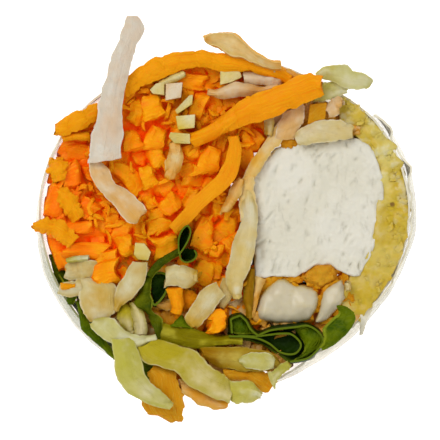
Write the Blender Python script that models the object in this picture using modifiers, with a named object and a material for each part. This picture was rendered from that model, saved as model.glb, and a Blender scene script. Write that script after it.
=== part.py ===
"""One cut piece of a rice paper roll, standing on its flat base with its filling in view on top.

Lengths below are in millimetres and MM turns them into metres. The roll's axis is Z, the base is at z = 0
and the upper cut face lies near CUT_HEIGHT. Seen from above, +X is right and +Y is up the picture.
"""
import math
import random

import bmesh
import bpy
from mathutils import Vector

MM = 0.001

# Whole roll
CUT_HEIGHT = 44.0
WRAP_RADII = (28.3, 28.2, 25.8, 25.9, 26.6, 28.0, 28.2, 27.1, 25.9, 25.4, 24.7, 25.9)
BELLY = 0.7
BELLY_LOWER_LEFT = 1.9
PAPER_THICKNESS = 0.5
PAPER_START = math.radians(-42.0)
PAPER_OVERLAP = math.radians(78.0)
PAPER_STEP_OUT = 1.1
GAP = 0.35

# Filling
JULIENNE = 2.7
CHUNK_SPACING = 3.35
CABBAGE_THICKNESS = 1.3
LEAF_THICKNESS = 0.6
TOFU_PIT_DEPTH = 0.7
CORE_TOP = CUT_HEIGHT - 0.5
PIECE_LENGTH = 7.0
PIECE_LEAN = 16.0
THIN_LEAF_THICKNESS = 0.5
FOLD_THICKNESS = 0.9
BAND_THICKNESS = 2.0
ROW_PACKING = 0.87
EDGE_CLEARANCE = 2.6
CLOSEST_PACKING = 0.62

# Making
CURVE_STEPS = 3
WELD_DISTANCE = 0.02
CUTTER_BOTTOM = -3.0
CUTTER_TOP = 56.0

# Colours, with roughness
CARROT = ("carrot", (0.90, 0.36, 0.015), 0.38)
CABBAGE = ("white_cabbage", (0.80, 0.68, 0.50), 0.40)
GREEN_CABBAGE = ("green_cabbage", (0.66, 0.66, 0.27), 0.38)
LEAF = ("leaf_green", (0.06, 0.19, 0.015), 0.35)
TOFU = ("tofu", (0.84, 0.80, 0.70), 0.65)
SEASONED = ("seasoned_layer", (0.70, 0.52, 0.13), 0.55)
PAPER = ("rice_paper", (0.78, 0.74, 0.66), 0.25)

materials = {}
covers = []


def clear_scene():
    for item in list(bpy.data.objects):
        bpy.data.objects.remove(item)


def new_collection(name):
    made = bpy.data.collections.new(name)
    bpy.context.scene.collection.children.link(made)
    return made


def material_of(choice):
    name, colour, roughness = choice
    if name not in materials:
        made = bpy.data.materials.new(name)
        made.use_nodes = True
        shader = made.node_tree.nodes["Principled BSDF"]
        shader.inputs["Base Color"].default_value = (*colour, 1.0)
        shader.inputs["Roughness"].default_value = roughness
        shader.inputs["Metallic"].default_value = 0.0
        made.diffuse_color = (*colour, 1.0)
        materials[name] = made
    return materials[name]


def ring_value(values, angle):
    """Smooth value at an angle, from values spaced evenly round a full turn."""
    place = angle / math.tau * len(values)
    first = math.floor(place)
    t = place - first
    a, b, c, d = (values[(first + step) % len(values)] for step in (-1, 0, 1, 2))
    return b + 0.5 * t * (c - a + t * (2 * a - 5 * b + 4 * c - d + t * (3 * (b - c) + d - a)))


def bump(angle, centre, half_width):
    """1 at the centre angle and 0 beyond the half width, in degrees."""
    away = (math.degrees(angle) - centre + 180.0) % 360.0 - 180.0
    return 0.5 + 0.5 * math.cos(math.pi * min(abs(away) / half_width, 1.0))


def wrap_radius(angle, height):
    """Radius of the innermost turn of paper at a height."""
    belly = BELLY + BELLY_LOWER_LEFT * bump(angle, 212.0, 55.0)
    share = min(max(height / CUT_HEIGHT, 0.0), 1.0)
    return ring_value(WRAP_RADII, angle) - belly + belly * math.sin(math.pi * (0.16 + 0.76 * share))


def link(item, material, collection):
    collection.objects.link(item)
    if material:
        item.data.materials.append(material_of(material))
    return item


def mesh_object(name, bm, material, collection):
    bm.normal_update()
    data = bpy.data.meshes.new(name)
    bm.to_mesh(data)
    bm.free()
    return link(bpy.data.objects.new(name, data), material, collection)


def to_mesh(item):
    """Turn a curve object into a welded mesh object of the same name."""
    bpy.context.view_layer.update()
    graph = bpy.context.evaluated_depsgraph_get()
    data = bpy.data.meshes.new_from_object(item.evaluated_get(graph))
    bm = bmesh.new()
    bm.from_mesh(data)
    bmesh.ops.remove_doubles(bm, verts=bm.verts, dist=WELD_DISTANCE * MM)
    bmesh.ops.recalc_face_normals(bm, faces=bm.faces)
    bm.to_mesh(data)
    bm.free()
    data.transform(item.matrix_world)
    name = item.name
    home = item.users_collection[0]
    bpy.data.objects.remove(item)
    made = bpy.data.objects.new(name, data)
    home.objects.link(made)
    data.name = name
    return made


def prism(name, material, outline, bottom, top, collection):
    """An outline in plan, extruded from bottom to top."""
    curve = bpy.data.curves.new(name, "CURVE")
    curve.dimensions = "2D"
    curve.fill_mode = "BOTH"
    curve.extrude = 0.5 * (top - bottom) * MM
    spline = curve.splines.new("POLY")
    spline.points.add(len(outline) - 1)
    for point, (x, y) in zip(spline.points, outline):
        point.co = (x * MM, y * MM, 0.0, 1.0)
    spline.use_cyclic_u = True
    made = link(bpy.data.objects.new(name, curve), material, collection)
    made.location.z = 0.5 * (top + bottom) * MM
    return to_mesh(made)


def section_curve(width, thickness, soft):
    """Cross-section of a strip: a plain rectangle, or one with its long edges thinned."""
    curve = bpy.data.curves.new("section", "CURVE")
    curve.dimensions = "2D"
    half_width = 0.5 * width * MM
    half_thick = 0.5 * thickness * MM
    corners = [(-half_width, -half_thick), (half_width, -half_thick)]
    if soft:
        corners = [(-0.6 * half_width, -half_thick), (0.6 * half_width, -half_thick), (half_width, 0.0)]
    corners += [(-x, -y) for x, y in corners]
    spline = curve.splines.new("POLY")
    spline.points.add(len(corners) - 1)
    for point, (x, y) in zip(spline.points, corners):
        point.co = (x, y, 0.0, 1.0)
    spline.use_cyclic_u = True
    return bpy.data.objects.new("section", curve)


def strip(name, material, route, width, thickness, radii=(), soft=True):
    """A cut strip along a route of (x, y, z) points, flat side up."""
    section = section_curve(width, thickness, soft)
    filling.objects.link(section)
    curve = bpy.data.curves.new(name, "CURVE")
    curve.dimensions = "3D"
    curve.twist_mode = "Z_UP"
    curve.resolution_u = CURVE_STEPS
    curve.use_fill_caps = True
    curve.bevel_mode = "OBJECT"
    curve.bevel_object = section
    spline = curve.splines.new("BEZIER")
    spline.bezier_points.add(len(route) - 1)
    for index, point in enumerate(spline.bezier_points):
        point.co = [value * MM for value in route[index]]
        point.handle_left_type = "AUTO"
        point.handle_right_type = "AUTO"
        point.radius = radii[index] if radii else 1.0
    made = to_mesh(link(bpy.data.objects.new(name, curve), material, filling))
    bpy.data.objects.remove(section)
    low = min(z for x, y, z in route) - 0.5 * thickness
    covers.append(([(x, y) for x, y, z in route], 0.5 * width, low))
    return made


def chunk(name, material, centre, size, turn=0.0, lean=0.0, narrow=1.0, collection=None):
    """A short block by its centre, size, turn about Z and lean, in millimetres and degrees."""
    bm = bmesh.new()
    bmesh.ops.create_cube(bm, size=1.0)
    for vert in bm.verts:
        taper = narrow if vert.co.z > 0.0 else 1.0
        vert.co = Vector((vert.co.x * size[0] * taper, vert.co.y * size[1] * taper, vert.co.z * size[2])) * MM
    made = mesh_object(name, bm, material, collection or filling)
    made.location = Vector(centre) * MM
    made.rotation_euler = (math.radians(lean), 0.0, math.radians(turn))
    if collection is None:
        low = centre[2] - 0.5 * size[2] - 0.3
        covers.append(([centre[:2]], 0.5 * max(size[:2]), low))
    return made


def sheet(name, material, place, along, across, thickness):
    """A thin wavy solid: a grid put in place by a function of u and v, then given its thickness."""
    bm = bmesh.new()
    bmesh.ops.create_grid(bm, x_segments=along, y_segments=across, size=0.5)
    for vert in bm.verts:
        vert.co = Vector(place(vert.co.x + 0.5, vert.co.y + 0.5)) * MM
    bmesh.ops.triangulate(bm, faces=bm.faces)
    made = mesh_object(name, bm, material, filling)
    solid = made.modifiers.new("thickness", "SOLIDIFY")
    solid.thickness = thickness * MM
    solid.offset = 0.0
    return made


def along_route(route, share):
    """Point and sideways direction at a share of a route, smooth through its points."""
    place = min(max(share, 0.0), 0.9999) * (len(route) - 1)
    first = int(place)
    t = place - first
    points = [Vector(route[min(max(first + step, 0), len(route) - 1)]) for step in (-1, 0, 1, 2)]
    a, b, c, d = points
    spot = b + 0.5 * t * (c - a + t * (2 * a - 5 * b + 4 * c - d + t * (3 * (b - c) + d - a)))
    pace = 0.5 * (c - a + 2 * t * (2 * a - 5 * b + 4 * c - d) + 3 * t * t * (3 * (b - c) + d - a))
    side = Vector((-pace.y, pace.x, 0.0)).normalized()
    return spot, side


def leaf(name, material, route, width, wave, waves, thickness=LEAF_THICKNESS, along=12, across=4):
    """A leaf lying along a route, its edges rising and falling in waves."""
    def place(u, v):
        spot, side = along_route(route, u)
        half = 0.5 * width * (0.35 + 0.65 * math.sin(math.pi * (0.12 + 0.78 * u)))
        edge = 2.0 * v - 1.0
        lift = wave * edge * edge * math.sin(math.tau * waves * u + 1.3 * edge)
        return spot + side * half * edge + Vector((0.0, 0.0, lift))
    covers.append(([(x, y) for x, y, z in route], 0.5 * width, min(z for x, y, z in route) - wave - thickness))
    return sheet(name, material, place, along, across, thickness)


def wall(name, material, route, bottom, top, thickness, along, across=2, flare=0.0):
    """A sheet standing on edge along a route in plan."""
    def place(u, v):
        spot, side = along_route([(x, y, 0.0) for x, y in route], u)
        return spot + side * flare * v + Vector((0.0, 0.0, bottom + (top - bottom) * v))
    if bottom > 1.0:
        covers.append((route, 0.5 * thickness, bottom))
    return sheet(name, material, place, along, across, thickness)


def rice_paper():
    """Film round the filling, a turn and a bit, with its loose end lapped over the right side."""
    def place(u, v):
        angle = PAPER_START + u * (math.tau + PAPER_OVERLAP)
        top = CUT_HEIGHT + 0.4 * math.sin(5.0 * angle) + 0.25 * math.sin(11.0 * angle + 1.0)
        height = 0.1 + (top - 0.1) * v
        lapped = u * (math.tau + PAPER_OVERLAP) / math.tau
        radius = wrap_radius(angle, height) + PAPER_STEP_OUT * lapped * min(1.0, 0.55 + 0.45 * lapped)
        if u > 0.75:
            upper = max(0.0, v - 0.75) * 4.0
            radius += upper * (1.7 * bump(angle, 31.0, 9.0) + 1.2 * bump(angle, 13.0, 7.0))
            height += upper * 1.4 * bump(angle, 31.0, 9.0)
        return (radius * math.cos(angle), radius * math.sin(angle), height)
    return sheet("rice_paper_wrap", PAPER, place, 84, 9, PAPER_THICKNESS)


def inside_outline(height):
    """Plan outline of the room inside the paper."""
    count = 60
    outline = []
    for index in range(count):
        angle = math.tau * index / count
        radius = wrap_radius(angle, height) - 0.5 * PAPER_THICKNESS - GAP
        outline.append((radius * math.cos(angle), radius * math.sin(angle)))
    return outline


def room_inside():
    """Cutter with the form of the room inside the paper, taller than the roll."""
    heights = (-2.0, 0.0, 9.0, 20.0, 31.0, 40.0, 47.0, 52.0)
    bm = bmesh.new()
    rings = []
    for height in heights:
        ring = [bm.verts.new((x * MM, y * MM, height * MM)) for x, y in inside_outline(height)]
        rings.append(ring)
    for low, high in zip(rings, rings[1:]):
        for index in range(len(low)):
            after = (index + 1) % len(low)
            bm.faces.new((low[index], low[after], high[after], high[index]))
    bm.faces.new(list(reversed(rings[0])))
    bm.faces.new(rings[-1])
    room = mesh_object("room_inside_paper", bm, None, cutters)
    room.hide_render = True
    room.display_type = "WIRE"


def apply_all(item):
    """Fix an object's modifiers into its mesh, in place."""
    bpy.context.view_layer.update()
    graph = bpy.context.evaluated_depsgraph_get()
    data = bpy.data.meshes.new_from_object(item.evaluated_get(graph))
    item.modifiers.clear()
    item.data = data
    return item


def join_pieces(item, pieces, operation="UNION"):
    """Join a collection's pieces to an object, or cut them out of it, and remove them."""
    join = item.modifiers.new("pieces", "BOOLEAN")
    join.operation = operation
    join.solver = "MANIFOLD"
    join.operand_type = "COLLECTION"
    join.collection = pieces
    apply_all(item)
    for piece in list(pieces.objects):
        bpy.data.objects.remove(piece)
    bpy.data.collections.remove(pieces)


def trim_to(item, outline):
    """Trim an object to its own region in plan and to the room inside the paper."""
    region = prism(item.name + "_region", None, outline, CUTTER_BOTTOM, CUTTER_TOP, cutters)
    for cutter in (region, bpy.data.objects["room_inside_paper"]):
        trim = item.modifiers.new("trim", "BOOLEAN")
        trim.operation = "INTERSECT"
        trim.solver = "MANIFOLD"
        trim.object = cutter
        apply_all(item)
    bpy.data.objects.remove(region)


def in_outline(x, y, outline):
    """True where a point in plan lies inside an outline."""
    inside = False
    for (ax, ay), (bx, by) in zip(outline, outline[1:] + outline[:1]):
        if (ay > y) != (by > y) and x < (bx - ax) * (y - ay) / (by - ay) + ax:
            inside = not inside
    return inside


def gap_to_route(x, y, route):
    """Distance in plan from a point to a route."""
    spot = Vector((x, y))
    if len(route) == 1:
        return (spot - Vector(route[0])).length
    nearest = 1e9
    for start, end in zip(route, route[1:]):
        a = Vector(start)
        b = Vector(end)
        share = min(max((spot - a).dot(b - a) / max((b - a).length_squared, 1e-9), 0.0), 1.0)
        nearest = min(nearest, (spot - a.lerp(b, share)).length)
    return nearest


def roof_over(x, y, reach):
    """Lowest underside of the pieces that lie over a place in plan."""
    low = 1e9
    for route, half_width, bottom in covers:
        if gap_to_route(x, y, route) < half_width + reach:
            low = min(low, bottom)
    return low


def bundle(name, material, outline, block, spacing, fixed, seed):
    """A packed bundle: a core in plan with the cut ends of its pieces standing up out of it."""
    draw = random.Random(seed)
    parts = new_collection(name + " pieces")
    core = prism(name, material, outline, 0.0, CORE_TOP, filling)
    places = list(fixed)
    row_step = spacing * ROW_PACKING
    for row in range(-17, 18):
        for column in range(-17, 18):
            x = (column + 0.5 * (row % 2)) * spacing + draw.uniform(-0.4, 0.4)
            y = row * row_step + draw.uniform(-0.4, 0.4)
            turn = draw.uniform(0.0, 180.0)
            high = draw.uniform(0.3, 2.2)
            stretch = draw.uniform(0.85, 1.25)
            clear = wrap_radius(math.atan2(y, x), CUT_HEIGHT) - math.hypot(x, y) > EDGE_CLEARANCE
            apart = all(math.hypot(x - other[0], y - other[1]) > CLOSEST_PACKING * spacing for other in places)
            if clear and apart and in_outline(x, y, outline):
                places.append((x, y, block * stretch, block / stretch, turn, high))
    for index, (x, y, wide, deep, turn, high) in enumerate(places):
        roof = roof_over(x, y, 0.7 * max(wide, deep)) - GAP
        covered = roof < CUT_HEIGHT + 5.0
        top = roof if covered else CUT_HEIGHT + high
        if top > CORE_TOP:
            tilt = 0.0 if covered else draw.uniform(-PIECE_LEAN, PIECE_LEAN)
            chunk(f"{name} piece {index}", None, (x, y, top - 0.5 * PIECE_LENGTH), (wide, deep, PIECE_LENGTH),
                  turn, tilt, 1.0 if covered else 0.86, parts)
    join_pieces(core, parts)
    trim_to(core, outline)
    return core


def carrot_strips():
    strip("carrot_top_arc", CARROT, [(-13.0, 21.2, 46.6), (-8.9, 23.6, 46.7), (-3.6, 24.5, 46.8),
          (0.9, 24.2, 46.8), (4.6, 23.3, 46.7), (6.9, 22.7, 46.6)], 2.3, 2.2, (0.9, 1, 1, 1, 0.85, 0.5), False)
    strip("carrot_left_tip", CARROT, [(-25.6, 13.9, 45.9), (-22.6, 15.9, 46.4), (-19.3, 18.0, 46.2)],
          3.6, 2.0, (0.25, 1.0, 1.0), False)
    strip("carrot_diagonal_strip", CARROT, [(-3.6, 12.7, 46.8), (2.4, 15.8, 47.6), (7.7, 18.2, 48.2),
          (14.4, 20.7, 48.4)], 3.6, 2.6, (0.75, 1.0, 1.1, 0.95), False)
    strip("carrot_curved_strip", CARROT, [(1.7, 11.2, 46.3), (1.2, 8.8, 46.6), (-0.4, 6.2, 46.8),
          (-3.8, 3.0, 46.9), (-7.6, -0.8, 46.6)], 2.3, 2.2, (0.8, 1, 1.05, 1, 0.8), False)
    strip("carrot_lower_strip", CARROT, [(-0.6, -23.5, 46.3), (3.9, -23.7, 46.3), (7.9, -23.1, 46.1)],
          3.0, 1.4, (0.9, 1.0, 0.7), False)
    strip("carrot_bottom_flag", CARROT, [(-10.4, -21.9, 46.0), (-8.7, -25.6, 45.6), (-7.0, -29.2, 44.6)],
          4.8, 1.3, (0.6, 1.05, 0.7), False)
    chunk("carrot_orange_chunk", CARROT, (-1.3, -14.4, 45.6), (3.6, 3.1, 2.2), 20.0, 6.0)
    chunk("carrot_orange_wedge", CARROT, (-7.3, -11.3, 45.5), (1.9, 3.8, 2.2), -15.0, 4.0)
    chunk("carrot_end_upper_right", CARROT, (13.9, 17.0, 45.2), (2.6, 2.4, 1.8), 20.0, 0.0)


def cabbage_strips():
    strip("cabbage_long_strip", CABBAGE, [(-13.0, 30.6, 47.2), (-14.4, 26.8, 48.2), (-15.8, 23.2, 49.2),
          (-17.0, 19.2, 49.0), (-17.5, 14.8, 48.6), (-17.7, 10.2, 48.0)], 3.4, CABBAGE_THICKNESS,
          (0.55, 0.95, 1, 1, 1.15, 1.1))
    strip("cabbage_strip_end", CABBAGE, [(-19.0, 9.0, 47.2), (-18.1, 5.8, 47.6), (-15.9, 3.2, 47.9),
          (-12.9, 1.2, 47.8)], 2.8, CABBAGE_THICKNESS, (0.8, 1, 1, 1))
    strip("cabbage_top_curl", CABBAGE, [(-2.8, 27.5, 48.3), (0.0, 27.8, 48.9), (2.5, 26.5, 49.2),
          (5.1, 24.6, 49.2), (7.8, 23.2, 48.9)], 2.2, 1.2, (0.5, 1, 1, 1, 0.6))
    strip("cabbage_upper_strip", CABBAGE, [(2.9, 21.0, 45.4), (5.2, 20.9, 45.5), (8.0, 20.2, 45.4)], 1.8, 1.1)
    strip("cabbage_pink_strip", CABBAGE, [(-2.7, 19.0, 46.0), (0.9, 19.2, 46.0), (3.2, 18.9, 45.9)],
          2.2, 1.1, (0.4, 1, 0.5))
    chunk("cabbage_upper_block", CABBAGE, (0.5, 21.4, 45.2), (2.7, 1.7, 1.4), 25.0)
    chunk("cabbage_cube", CABBAGE, (-7.5, 19.6, 46.1), (2.3, 2.2, 3.2), 12.0)
    chunk("cabbage_pale_wedge", GREEN_CABBAGE, (-10.2, 19.5, 46.0), (2.2, 1.9, 3.0), -10.0)
    chunk("cabbage_cut_upper", GREEN_CABBAGE, (-6.2, 16.9, 46.1), (2.9, 1.9, 3.2), 15.0)
    chunk("cabbage_cut_middle", GREEN_CABBAGE, (-5.9, 14.4, 46.1), (2.8, 1.7, 3.2), -6.0)
    chunk("cabbage_cut_lower", GREEN_CABBAGE, (-6.8, 11.9, 46.0), (3.2, 1.6, 3.0), -6.0)
    leaf("cabbage_pale_green_leaf", GREEN_CABBAGE, [(15.9, 19.6, 46.5), (17.9, 20.9, 47.2), (20.2, 21.3, 47.2),
         (22.4, 20.9, 46.8)], 4.4, 0.5, 1.6, LEAF_THICKNESS, 10, 4)
    chunk("cabbage_pink_piece", CABBAGE, (16.1, 17.6, 45.3), (1.6, 2.2, 1.2), 10.0)
    strip("cabbage_fan", CABBAGE, [(9.2, 13.6, 45.3), (10.5, 15.2, 45.6), (11.6, 16.5, 45.4)], 2.4, 1.4)
    strip("cabbage_slab", CABBAGE, [(12.0, 13.7, 45.4), (15.0, 14.6, 45.6), (18.2, 14.0, 45.4)],
          2.4, 1.4, (0.7, 1, 0.7))


def lower_left_cabbage():
    strip("cabbage_flap_upper", CABBAGE, [(-23.6, -6.6, 45.5), (-21.4, -7.5, 45.8), (-19.2, -7.2, 45.6)],
          2.4, 1.1, (0.7, 1, 0.8))
    strip("cabbage_crescent", CABBAGE, [(-24.4, -9.0, 45.4), (-23.7, -10.4, 45.6), (-22.7, -11.4, 45.4)],
          1.6, 1.1, (0.5, 1, 0.8))
    strip("cabbage_square_piece", CABBAGE, [(-19.6, -9.2, 45.4), (-19.0, -11.2, 45.6), (-18.3, -13.4, 45.4)],
          4.8, 1.3, (0.9, 1, 0.8))
    strip("cabbage_diagonal_strip", CABBAGE, [(-12.4, -6.4, 47.0), (-14.0, -9.0, 47.3), (-15.9, -12.1, 47.2)],
          3.0, 1.2, (0.9, 1, 0.8))
    strip("cabbage_boat_strip", CABBAGE, [(-20.4, -14.9, 46.9), (-18.2, -17.2, 47.4), (-15.6, -18.3, 47.6),
          (-12.8, -18.0, 47.5), (-10.4, -17.0, 47.2)], 2.8, 1.1, (0.5, 1, 1.1, 1, 0.5))
    strip("cabbage_green_sliver", GREEN_CABBAGE, [(-15.4, -12.6, 45.4), (-14.6, -14.6, 45.5),
          (-13.9, -16.2, 45.4)], 1.8, 1.1, (0.7, 1, 0.8))
    chunk("cabbage_white_chunk", CABBAGE, (-6.6, -7.6, 45.6), (4.7, 3.0, 2.4), -12.0, 5.0)
    strip("cabbage_lower_strip", CABBAGE, [(-1.3, -8.0, 47.0), (-2.8, -10.4, 47.3), (-4.4, -12.6, 47.2)],
          2.5, 1.2, (0.8, 1, 0.9))
    strip("cabbage_short_strip", CABBAGE, [(0.6, -8.4, 45.6), (0.0, -10.4, 45.7), (-0.4, -12.2, 45.6)],
          1.7, 1.1, (0.8, 1, 0.6))


def green_bottom_strips():
    strip("green_strip_left", GREEN_CABBAGE, [(-15.3, -19.8, 49.2), (-15.0, -21.6, 49.0), (-12.7, -24.8, 48.4),
          (-8.0, -27.2, 47.2)], 3.5, 1.3, (0.95, 1.05, 1.0, 0.3))
    strip("green_strip_large", GREEN_CABBAGE, [(-11.0, -19.7, 48.3), (-6.6, -21.2, 48.4), (-2.9, -23.7, 48.4),
          (-0.4, -26.3, 48.0)], 4.2, 1.5, (0.85, 1, 1.05, 0.95))
    strip("green_strip_yellow", GREEN_CABBAGE, [(-4.4, -20.1, 46.3), (0.1, -20.3, 46.4), (4.3, -20.5, 46.4),
          (7.4, -20.9, 46.2)], 2.8, 1.3, (0.9, 1, 1, 0.6))
    strip("green_strip_end", GREEN_CABBAGE, [(2.7, -25.3, 48.0), (5.4, -24.7, 47.9)], 2.8, 1.1, (1, 0.8))
    strip("green_strip_small", GREEN_CABBAGE, [(7.6, -22.2, 48.1), (10.3, -21.7, 48.1)], 2.3, 1.0, (1, 0.8))
    strip("green_stem_band", GREEN_CABBAGE, [(-8.8, -15.6, 45.8), (-5.9, -16.9, 45.9), (-2.8, -17.8, 45.9),
          (0.6, -18.0, 45.8)], 2.1, 1.6, (0.7, 1, 1, 0.9))


def leaves():
    wall("leaf_fold_outer", LEAF, [(5.4, -17.6), (6.4, -16.0), (8.8, -15.2), (11.9, -15.0), (14.4, -15.7),
         (15.4, -17.2), (14.2, -18.7), (11.4, -20.3)], 44.3, 47.0, FOLD_THICKNESS, 24, 2, 0.2)
    wall("leaf_fold_inner", LEAF, [(7.4, -16.9), (9.4, -16.6), (11.6, -17.4), (9.6, -18.6), (7.6, -18.9)],
         44.3, 46.8, FOLD_THICKNESS, 18, 2, 0.3)
    leaf("leaf_left_flap", LEAF, [(0.9, -13.6, 47.4), (2.5, -14.5, 47.5), (4.9, -16.0, 47.4)], 2.4, 0.3, 1.0,
         LEAF_THICKNESS, 8, 3)
    leaf("leaf_right", LEAF, [(15.0, -18.2, 48.3), (17.2, -16.4, 48.4), (18.4, -14.4, 48.0),
         (19.2, -12.8, 47.4)], 3.2, 0.4, 1.3, LEAF_THICKNESS, 10, 4)
    leaf("leaf_crumpled", LEAF, [(-11.6, -7.6, 45.8), (-12.2, -10.6, 45.9), (-11.5, -13.6, 45.8),
         (-10.9, -15.4, 45.7)], 2.4, 0.4, 2.2)
    leaf("leaf_under_paper", LEAF, [(-23.0, -12.2, 45.2), (-21.4, -13.9, 45.3), (-19.6, -16.2, 45.3),
         (-17.4, -17.7, 45.2)], 1.4, 0.2, 1.5, THIN_LEAF_THICKNESS, 10, 2)
    wall("leaf_small_loop", LEAF, [(-6.0, -0.7), (-6.9, -2.4), (-6.5, -4.2), (-5.3, -3.4), (-5.2, -1.9)],
         47.9, 49.6, LEAF_THICKNESS, 16, 2, 0.2)
    strip("leaf_stem", LEAF, [(-7.9, -4.4, 47.5), (-9.3, -5.5, 47.8), (-10.4, -6.1, 47.9)], 1.6, 0.8, (1, 1, 0.7))


def tofu_block():
    """White block, its cut face broken by short slanted pits."""
    outline = [(8.1, 11.8), (11.0, 12.4), (17.5, 12.4), (21.2, 12.1), (22.8, 10.6), (23.7, 7.2), (23.7, 4.4),
               (22.9, -0.9), (22.4, -3.5), (21.2, -6.2), (19.9, -7.9), (16.9, -6.2), (15.1, -5.9), (12.3, -6.8),
               (10.6, -8.0), (5.3, -8.0), (4.9, -0.9), (4.4, 3.6), (4.4, 7.0), (5.8, 9.3)]
    block = prism("tofu_block", TOFU, outline, 0.0, CUT_HEIGHT + 0.8, filling)
    draw = random.Random(5)
    pits = new_collection("tofu pits")
    for row in range(6):
        for column in range(6):
            x = 6.4 + 2.9 * column + draw.uniform(-0.6, 0.6)
            y = -5.4 + 2.9 * row + draw.uniform(-0.6, 0.6)
            size = (draw.uniform(0.4, 0.8), draw.uniform(1.3, 2.3), 2.0 * TOFU_PIT_DEPTH)
            chunk(f"pit {row} {column}", None, (x, y, CUT_HEIGHT + 0.8), size, draw.uniform(-70, -35), 0.0, 1.5, pits)
    join_pieces(block, pits, "DIFFERENCE")


def through_fillings():
    outline = [(16.5, 19.2), (18.2, 15.9), (21.5, 12.7), (23.2, 10.8), (24.1, 7.3), (24.1, 4.4), (23.3, -0.9),
               (22.8, -3.6), (21.6, -6.4), (20.4, -8.4), (19.3, -10.0), (19.1, -12.2), (21.0, -13.6),
               (30.0, -6.0), (31.0, 5.0), (28.0, 14.0), (21.0, 20.5)]
    seasoned = prism("seasoned_layer", SEASONED, outline, 0.0, CUT_HEIGHT + 0.4, filling)
    crumbs = new_collection("seasoned crumbs")
    draw = random.Random(9)
    for index in range(34):
        angle = math.radians(-27.0 + 70.0 * index / 33.0)
        radius = wrap_radius(angle, CUT_HEIGHT) - draw.uniform(2.0, 3.0)
        size = [draw.uniform(1.0, 1.9) for axis in range(3)]
        centre = (radius * math.cos(angle), radius * math.sin(angle), CUT_HEIGHT + 0.3)
        chunk(f"crumb {index}", None, centre, size, draw.uniform(0.0, 90.0), draw.uniform(-30.0, 30.0), 0.7, crumbs)
    join_pieces(seasoned, crumbs)
    trim_to(seasoned, outline)
    prism("white_rib_large", CABBAGE, [(5.0, -9.2), (5.8, -8.4), (10.8, -8.4), (12.3, -7.6), (13.6, -8.9),
          (14.2, -10.6), (13.2, -13.2), (11.4, -14.0), (7.2, -14.1), (5.1, -13.2), (4.5, -11.6)],
          0.0, CUT_HEIGHT + 1.4, filling)
    prism("white_rib_slanted", CABBAGE, [(15.0, -10.0), (17.2, -8.6), (18.4, -9.8), (18.5, -11.4),
          (17.0, -13.7), (15.2, -14.6), (13.9, -14.4), (14.0, -13.4), (14.8, -11.0)],
          0.0, CUT_HEIGHT + 0.9, filling)
    prism("carrot_under_tofu", CARROT, [(12.8, -7.3), (15.1, -6.4), (16.8, -6.7), (16.9, -8.2), (15.3, -9.4),
          (14.1, -8.6)], 0.0, CUT_HEIGHT + 0.6, filling)
    wall("cabbage_band", CABBAGE, [(7.2, 15.8), (5.4, 12.3), (3.3, 9.0), (2.6, 6.0), (2.8, 2.5), (3.2, -1.0),
         (3.3, -5.0), (2.9, -8.0), (2.4, -10.6)], 0.0, CUT_HEIGHT + 0.9, BAND_THICKNESS, 20)


def bundles():
    bundle("carrot_bundle", CARROT, [(6.2, 18.0), (5.4, 15.9), (3.6, 12.9), (1.7, 9.6), (1.0, 6.2), (1.2, 2.4),
           (1.6, -1.0), (1.7, -4.9), (-5.5, -5.1), (-13.0, -5.5), (-20.0, -6.0), (-31.0, -5.4), (-32.0, 2.0),
           (-31.0, 14.0), (-20.0, 27.0), (-5.0, 31.0), (6.4, 31.0)], JULIENNE, CHUNK_SPACING,
           [(-24.6, 7.2, 3.2, 4.2, 20.0, 2.2), (-25.0, 3.2, 3.0, 4.0, -20.0, 2.0), (-24.2, -1.6, 3.2, 3.6, 35.0, 2.0),
            (-20.5, -3.6, 6.4, 2.8, 0.0, 1.8), (-14.6, -3.6, 3.2, 3.8, 12.0, 1.6), (-2.6, 10.2, 3.6, 4.8, 10.0, 1.2),
            (-9.2, -2.9, 3.6, 3.4, 20.0, 1.8), (-3.4, -2.2, 3.8, 4.4, -25.0, 1.6)], 11)
    bundle("upper_cabbage", CABBAGE, [(9.0, 13.2), (8.7, 15.2), (7.4, 18.0), (7.1, 31.0), (16.2, 27.0), (16.1, 19.0),
           (17.8, 15.6), (20.6, 12.8)], 2.2, 3.4, [], 12)
    bundle("lower_cabbage", CABBAGE, [(-31.0, -5.9), (-20.0, -6.5), (-13.0, -6.0), (-5.5, -5.6), (1.5, -5.4),
           (1.3, -8.0), (0.9, -11.4), (3.9, -12.0), (4.4, -13.8), (7.0, -14.6), (11.6, -14.5), (13.6, -15.1),
           (15.4, -15.1), (17.6, -14.0), (19.0, -12.7), (21.0, -14.2), (31.0, -19.0), (20.0, -27.0), (0.0, -31.0),
           (-20.0, -27.0), (-31.0, -14.0)], 2.6, 3.9, [], 13)


clear_scene()
filling = new_collection("rice paper roll piece")
cutters = new_collection("cutters")
room_inside()
rice_paper()
tofu_block()
carrot_strips()
cabbage_strips()
lower_left_cabbage()
green_bottom_strips()
leaves()
through_fillings()
bundles()
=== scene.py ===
import math
import random

import bpy
from mathutils import Matrix, Vector, noise


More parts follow.
